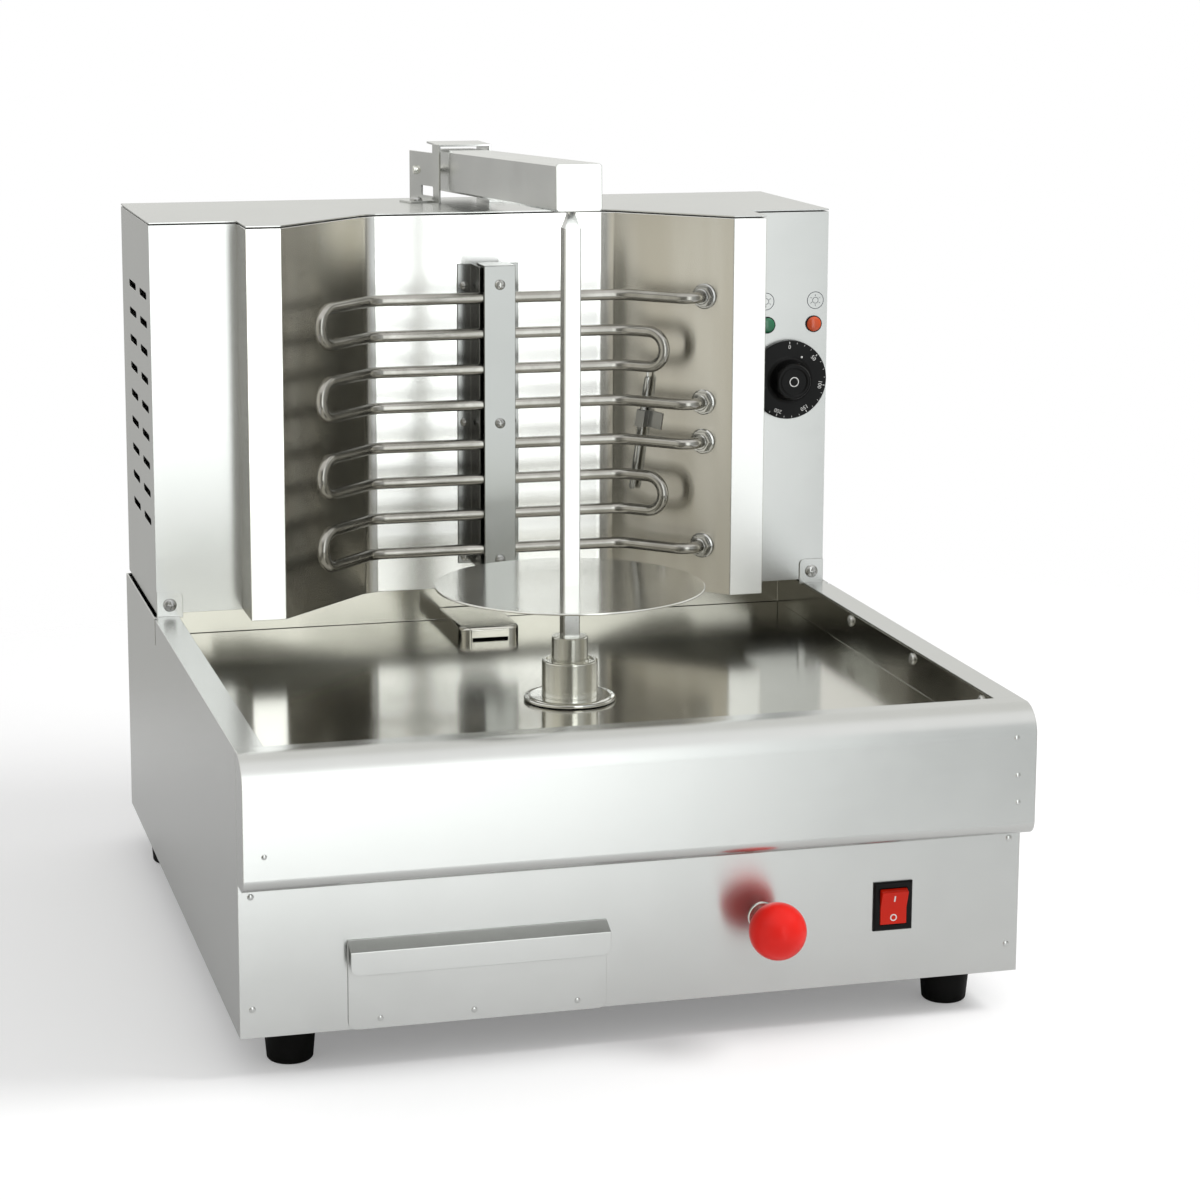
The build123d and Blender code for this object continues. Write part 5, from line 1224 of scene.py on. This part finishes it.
@dataclass
class Controls(SubAssembly):
    """The dial, its stem, the two lamps and the rocker switch."""

    dial: Pair = (213.0, 350.7)
    disc_radius: float = 28.4
    disc_face: float = 4.6
    cap_face: float = 16.6
    figures: tuple[str, ...] = ("0", "50", "100", "150", "200", "250", "300")
    figure_step: float = 50.0
    figure_radius: float = 23.6
    figure_height: float = 4.0
    tick_radius: float = 26.6
    small_tick_radius: float = 26.8
    dot: Pair = (30.0, 18.6)
    lamp_xs: tuple[float, ...] = (197.35, 232.35)
    lamp_z: float = 390.1
    lamp_radius: float = 6.0
    switch_x: float = 161.2
    rocker_waist: float = 2.6
    rocker_raise: float = 4.5
    rocker_radius: float = 11.5
    rocker_tilt: float = 9.0

    def dial_place(self, proud: float, angle: float = 0.0, radius: float = 0.0) -> Matrix:
        """A place on the dial's face, turned clockwise about its centre and moved outwards."""
        x, z = self.dial
        face = Facing.FRONT.at(x, self.column_y - proud, z)
        return face @ Matrix.Rotation(-radians(angle), 4, "Z") @ Matrix.Translation((0, radius, 0))

    def dial_mesh(self) -> Mesh:
        """The dial's disc with its raised cap."""
        edge, face, top = self.disc_radius, self.disc_face, self.cap_face
        profile = [
            (0, 0.6), (edge, 0.6), (edge, face - 1.0), (edge - 0.3, face - 0.4), (edge - 0.9, face),
            (17.6, face), (16.0, face + 0.3), (14.9, face + 1.3), (14.3, face + 3.0), (13.1, top - 2.6),
            (12.7, top - 1.2), (11.9, top - 0.3), (10.8, top), (9.8, top - 0.3), (9.0, top - 0.8),
            (0, top - 0.8),
        ]
        return lathe(profile, 96)

    def dial_marks(self) -> Mesh:
        """The ring of figures and ticks, the pointer's dot and the ring on the cap."""
        marks = []
        face, step = self.disc_face, self.figure_step
        last = len(self.figures) - 1
        for i, text in enumerate(self.figures):
            angle = i * step
            marks.append(numeral(text, self.figure_height, self.dial_place(face, angle, self.figure_radius)))
            marks.append(slab(0.5, 1.6, PRINT, self.dial_place(face, angle, self.tick_radius)))
            if i < last:
                for share in (0.25, 0.5, 0.75):
                    tick = self.dial_place(face, angle + share * step, self.small_tick_radius)
                    marks.append(slab(0.3, 1.1, PRINT, tick))
        marks.append(moved(Rivet(0.8, 0.15).mesh(), self.dial_place(face, *self.dot)))
        marks.append(moved(washer(2.9, 3.5, BOLD_PRINT), self.dial_place(self.cap_face - 0.8)))
        return joined(*marks)

    def lamp(self, name: str, x: float, finish: Finish, slot: Slot) -> None:
        """A domed lens in a dark rim, with its body behind the panel."""
        r = self.lamp_radius
        dome = [(0.9 * r * cos(a), 0.9 + 2.1 * sin(a)) for a in (radians(i) for i in range(0, 90, 15))]
        lens = lathe([(0, -20), (4.5, -20), (4.5, 0), (0.9 * r, 0)] + dome + [(0, 3.0)], 40)
        rim = lathe([(0.9 * r, 0), (r, 0), (r, 1.0), (0.97 * r, 1.3), (0.9 * r, 1.3), (0.9 * r, 0)], 40)
        where = Facing.FRONT.at(x, self.column_y, self.lamp_z)
        self.publish(moved(lens, where), f"lamp_{name}_lens", Body.BASE, finish, slot, (f"lamp_{name}",))
        self.publish(moved(rim, where.copy()), f"lamp_{name}_rim", Body.BASE, Finish.BLACK, Slot.BLACK)

    def rocker_mark(self, side: int, along: float) -> Matrix:
        """A place on one half of the rocker's front, at a distance from its waist."""
        rise = Vector((0, self.rocker_waist - self.rocker_raise, side * self.rocker_radius)).normalized()
        up = rise * side
        out = Vector((1, 0, 0)).cross(up)
        local = place(Vector((1, 0, 0)), out, Vector((0, -self.rocker_waist, 0)) + rise * along)
        tilt = Matrix.Rotation(radians(self.rocker_tilt), 4, "X")
        return Matrix.Translation((self.switch_x, self.front_y, self.control_z)) @ tilt @ local

    def build(self) -> None:
        """Builds the dial, the lamps and the switch."""
        knob = Body.KNOB
        dial = moved(self.dial_mesh(), self.dial_place(0.0))
        self.publish(dial, "thermostat_knob_moulded", knob, Finish.BLACK, Slot.BLACK, ("thermostat_knob",))
        self.publish(self.dial_marks(), "thermostat_knob_print", knob, Finish.WHITE)
        self.soften("thermostat_stem", knob, Finish.BAR, Slot.BAR, 0.1)
        self.soften("thermostat_body", Body.BASE, Finish.BLACK, Slot.BLACK)
        self.lamp("green", self.lamp_xs[0], Finish.GREEN, Slot.GREEN)
        self.lamp("orange", self.lamp_xs[1], Finish.ORANGE, Slot.ORANGE)
        self.soften("switch_frame", Body.BASE, Finish.BLACK, Slot.BLACK, 0.25)
        self.soften("switch_rocker", Body.ROCKER, Finish.ROCKER, Slot.RED, 0.25)
        line = slab(0.9, 4.2, BOLD_PRINT, self.rocker_mark(1, 6.2))
        circle = moved(washer(1.5, 2.2, BOLD_PRINT), self.rocker_mark(-1, 6.6))
        self.publish(joined(line, circle), "switch_rocker_print", Body.ROCKER, Finish.WHITE)


@dataclass
class GreaseDrawer(SubAssembly):
    """The grease drawer and its runners."""

    front_face: float = -244.75
    rivet_xs: tuple[float, ...] = (-161.4, -104.3, -40.5)
    rivet_z: float = 32.3

    def build(self) -> None:
        """Builds the drawer, its rivets and its runners."""
        self.soften("drawer_front", Body.DRAWER, Finish.CASING, Slot.CASING)
        self.soften("drawer_box", Body.DRAWER, Finish.INNER, Slot.INNER)
        self.soften("drawer_runners", Body.BASE, Finish.INNER, Slot.INNER)
        places = [Facing.FRONT.at(x, self.front_face, self.rivet_z) for x in self.rivet_xs]
        self.rivets("drawer_rivets", places, Body.DRAWER, Rivet(1.8, 0.6))


@dataclass
class MainsEntry(SubAssembly):
    """The cord gland in the back and the terminal block inside."""

    gland: Pair = (-150.0, 80.0)
    radius: float = 11.0
    nut_top: float = 5.0
    locknut_low: float = -6.2
    dome_radius: float = 9.8
    dome_top: float = 17.2
    rib_reach: float = 9.0
    thread_radius: float = 8.0
    bore: float = 4.5
    ribs: int = 18

    def bored_nut(self, low: float, top: float) -> Mesh:
        """A six-sided nut round the cord's bore, between two heights."""
        return ease(washer(self.bore, self.radius, top, 6, low), 0.5)

    def gland_mesh(self) -> Mesh:
        """The gland: a hexagon, a ribbed dome nut, the thread and the locknut inside."""
        r, low, top = self.dome_radius, self.nut_top, self.dome_top
        dome = lathe([
            (self.bore, low), (r, low), (r, top - 3.4), (r - 0.7, top - 1.8), (r - 2.4, top - 0.5),
            (r - 3.6, top), (self.bore, top), (self.bore, low),
        ], 2 * self.ribs)
        sides = [(f, f.calc_center_median()) for f in dome.faces if abs(f.normal.z) < 0.1]
        wall = [(f, middle) for f, middle in sides if middle.xy.length > self.rib_reach]
        dents = [f for f, middle in wall if round(atan2(middle.y, middle.x) * self.ribs / pi - 0.5) % 2]
        bmesh.ops.inset_individual(dome, faces=dents, thickness=0.2, depth=-0.3)
        thread = washer(self.bore, self.thread_radius, 0, 32, -self.sheet)
        return joined(dome, thread, self.bored_nut(0, low), self.bored_nut(self.locknut_low, -self.sheet))

    def build(self) -> None:
        """Builds the gland and the terminal block."""
        x, z = self.gland
        mesh = moved(self.gland_mesh(), Facing.BACK.at(x, self.back_y - self.sheet, z))
        self.publish(mesh, "cable_gland_moulded", Body.BASE, Finish.BLACK, Slot.BLACK, ("cable_gland",))
        self.soften("terminal_block", Body.BASE, Finish.TERMINAL, Slot.TERMINAL)


# Studio
@dataclass
class Studio:
    """The camera, the lamps, the world and the floor."""

    eye: Triple = (-0.50245, -1.94957, 0.66416)
    yaw: float = 15.302
    pitch: float = 10.42
    roll: float = 0.215
    lens: float = 92.136
    shift: Pair = (0.01122, -0.08387)
    sensor: float = 36.0
    clip: Pair = (0.05, 50.0)
    floor_radius: float = 3.0
    floor_albedo: float = 0.82
    floor_lift: float = 0.22
    gloss_albedo: float = 0.74
    fade: Pair = (0.5, 1.3)
    gloss_fade: Pair = (0.45, 0.9)
    plain_level: float = 0.74
    roof_level: float = 1.2
    back_levels: Pair = (0.48, 0.95)
    roof_rise: Pair = (0.45, 0.7)
    back_rise: Pair = (-0.06, 0.1)
    front_to_back: Pair = (-0.15, 0.15)
    key_eye: Triple = (1.9, -0.7, 2.2)
    key_target: Triple = (0.0, 0.0, 0.25)
    key_size: float = 1.1
    key_power: float = 45.0
    brightest: float = 3.0
    warm: Colour = (1.0, 0.985, 0.9)
    cool: Colour = (0.97, 1.0, 1.0)
    boxes: tuple[tuple[float, float, Colour], ...] = (
        (-0.85, 0.85, warm), (-0.5, 0.28, warm), (-0.08, 0.3, warm), (0.02, 2.3, cool), (0.25, 2.3, cool),
        (0.33, 0.8, cool), (0.6, 0.65, cool), (0.85, 0.4, warm),
    )

    def camera(self) -> None:
        """Sets the camera where the photograph was taken from."""
        yaw, pitch, roll = radians(self.yaw), radians(self.pitch), radians(self.roll)
        ahead = Vector((sin(yaw) * cos(pitch), cos(yaw) * cos(pitch), -sin(pitch)))
        level = Vector((cos(yaw), -sin(yaw), 0))
        right = level * cos(roll) + level.cross(ahead) * sin(roll)
        data = bpy.data.cameras.new("photo_camera")
        data.lens, data.sensor_width, data.sensor_fit = self.lens, self.sensor, "HORIZONTAL"
        data.shift_x, data.shift_y = self.shift
        data.clip_start, data.clip_end = self.clip
        holder = bpy.data.objects.new("photo_camera", data)
        holder.matrix_world = place(right, -ahead, Vector(self.eye))
        bpy.context.scene.collection.objects.link(holder)
        bpy.context.scene.camera = holder

    def rays(self, graph: Graph) -> tuple[Socket, Socket]:
        """Whether a ray is seen directly, and whether it is a reflection."""
        path = graph.add("LightPath").outputs
        shown = graph.math("MAXIMUM", path["Is Camera Ray"], path["Is Transmission Ray"])
        return shown, path["Is Glossy Ray"]

    def world(self) -> None:
        """A white surround, with a studio's soft boxes and darker sides where gloss reflects it."""
        world = bpy.data.worlds.new("studio")
        world.use_nodes = True
        bpy.context.scene.world = world
        graph = Graph(world.node_tree)
        way = graph.add("SeparateXYZ", {0: graph.add("TexCoord").outputs["Generated"]}).outputs
        boxes = graph.add("ValToRGB", {0: graph.math("MULTIPLY_ADD", way[0], 0.5, 0.5)})
        stops = boxes.color_ramp.elements
        while len(stops) < len(self.boxes):
            stops.new(0.5)
        for stop, (x, level, tint) in zip(stops, self.boxes):
            stop.position = 0.5 + 0.5 * x
            stop.color = opaque(tuple(level * share / self.brightest for share in tint))
        scaled = graph.add("VectorMath", {0: boxes.outputs[0], "Scale": self.brightest}, operation="SCALE")
        roof = opaque((self.roof_level,) * 3)
        front = graph.blend(graph.ramp(way[2], *self.roof_rise, 0.0, 1.0), scaled.outputs[0], roof)
        low, high = (opaque((level, level, 0.97 * level)) for level in self.back_levels)
        back = graph.blend(graph.ramp(way[2], *self.back_rise, 0.0, 1.0), low, high)
        studio = graph.blend(graph.ramp(way[1], *self.front_to_back, 0.0, 1.0), front, back)
        shown, glossy = self.rays(graph)
        plain = graph.blend(shown, opaque((self.plain_level,) * 3), opaque((1.0, 1.0, 1.0)))
        seen = graph.blend(glossy, plain, studio)
        surround = world.node_tree.nodes["Background"]
        world.node_tree.links.new(seen, surround.inputs["Color"])
        surround.inputs["Strength"].default_value = 1.0

    def floor(self) -> None:
        """A pale floor that keeps the object's shadow and fades into the white surround."""
        mesh = bmesh.new()
        bmesh.ops.create_circle(mesh, cap_ends=True, segments=96, radius=self.floor_radius)
        data = bpy.data.meshes.new("floor")
        mesh.to_mesh(data)
        mesh.free()
        shader = bpy.data.materials.new("floor_white")
        shader.use_nodes = True
        shader.node_tree.nodes.clear()
        graph = Graph(shader.node_tree)
        where = graph.add("TexCoord").outputs["Object"]
        reach = graph.add("VectorMath", {0: where}, operation="LENGTH").outputs["Value"]
        shown, glossy = self.rays(graph)
        open_floor = graph.math("MULTIPLY", shown, graph.ramp(reach, *self.fade, 0.0, 1.0))
        open_gloss = graph.math("MULTIPLY", glossy, graph.ramp(reach, *self.gloss_fade, 0.0, 1.0))
        opened = graph.math("ADD", open_floor, open_gloss)
        tone = graph.blend(glossy, opaque((self.floor_albedo,) * 3), opaque((self.gloss_albedo,) * 3))
        matt = graph.add("BsdfDiffuse", {"Color": tone}).outputs[0]
        lift = graph.math("MULTIPLY", shown, self.floor_lift)
        fill = graph.add("Emission", {"Color": opaque((1, 1, 1)), "Strength": lift}).outputs[0]
        near = graph.add("AddShader", {0: matt, 1: fill}).outputs[0]
        clear = graph.add("BsdfTransparent").outputs[0]
        mixed = graph.add("MixShader", {0: opened, 1: near, 2: clear}).outputs[0]
        graph.add("OutputMaterial", {"Surface": mixed})
        data.materials.append(shader)
        floor = bpy.data.objects.new("floor", data)
        bpy.context.scene.collection.objects.link(floor)

    def key_lamp(self) -> None:
        """The one square soft lamp, which gloss doesn't show."""
        data = bpy.data.lights.new("key", "AREA")
        data.shape, data.size, data.energy = "SQUARE", self.key_size, self.key_power
        eye = Vector(self.key_eye)
        turn = (Vector(self.key_target) - eye).to_track_quat("-Z", "Y").to_matrix().to_4x4()
        holder = bpy.data.objects.new("key", data)
        holder.matrix_world = Matrix.Translation(eye) @ turn
        holder.visible_camera, holder.visible_glossy = False, False
        bpy.context.scene.collection.objects.link(holder)

    def build(self) -> None:
        """Sets up the whole studio."""
        view = bpy.context.scene.view_settings
        view.view_transform = "Standard"
        self.camera()
        self.world()
        self.floor()
        self.key_lamp()


SUB_ASSEMBLIES = (
    BaseCabinet, UpperBody, HeatingBank, SpitDrive, ArmAndSaddle, Controls, GreaseDrawer, MainsEntry,
)


def main() -> None:
    """Builds the studio and the object's sub-assemblies."""
    logging.basicConfig(level=logging.INFO, format="%(message)s")
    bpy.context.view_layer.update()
    Studio().build()
    palette = Palette()
    for kind in SUB_ASSEMBLIES:
        kind(palette).build()
        log.info("%s is done", kind.__name__)


if __name__ == "__main__":
    main()
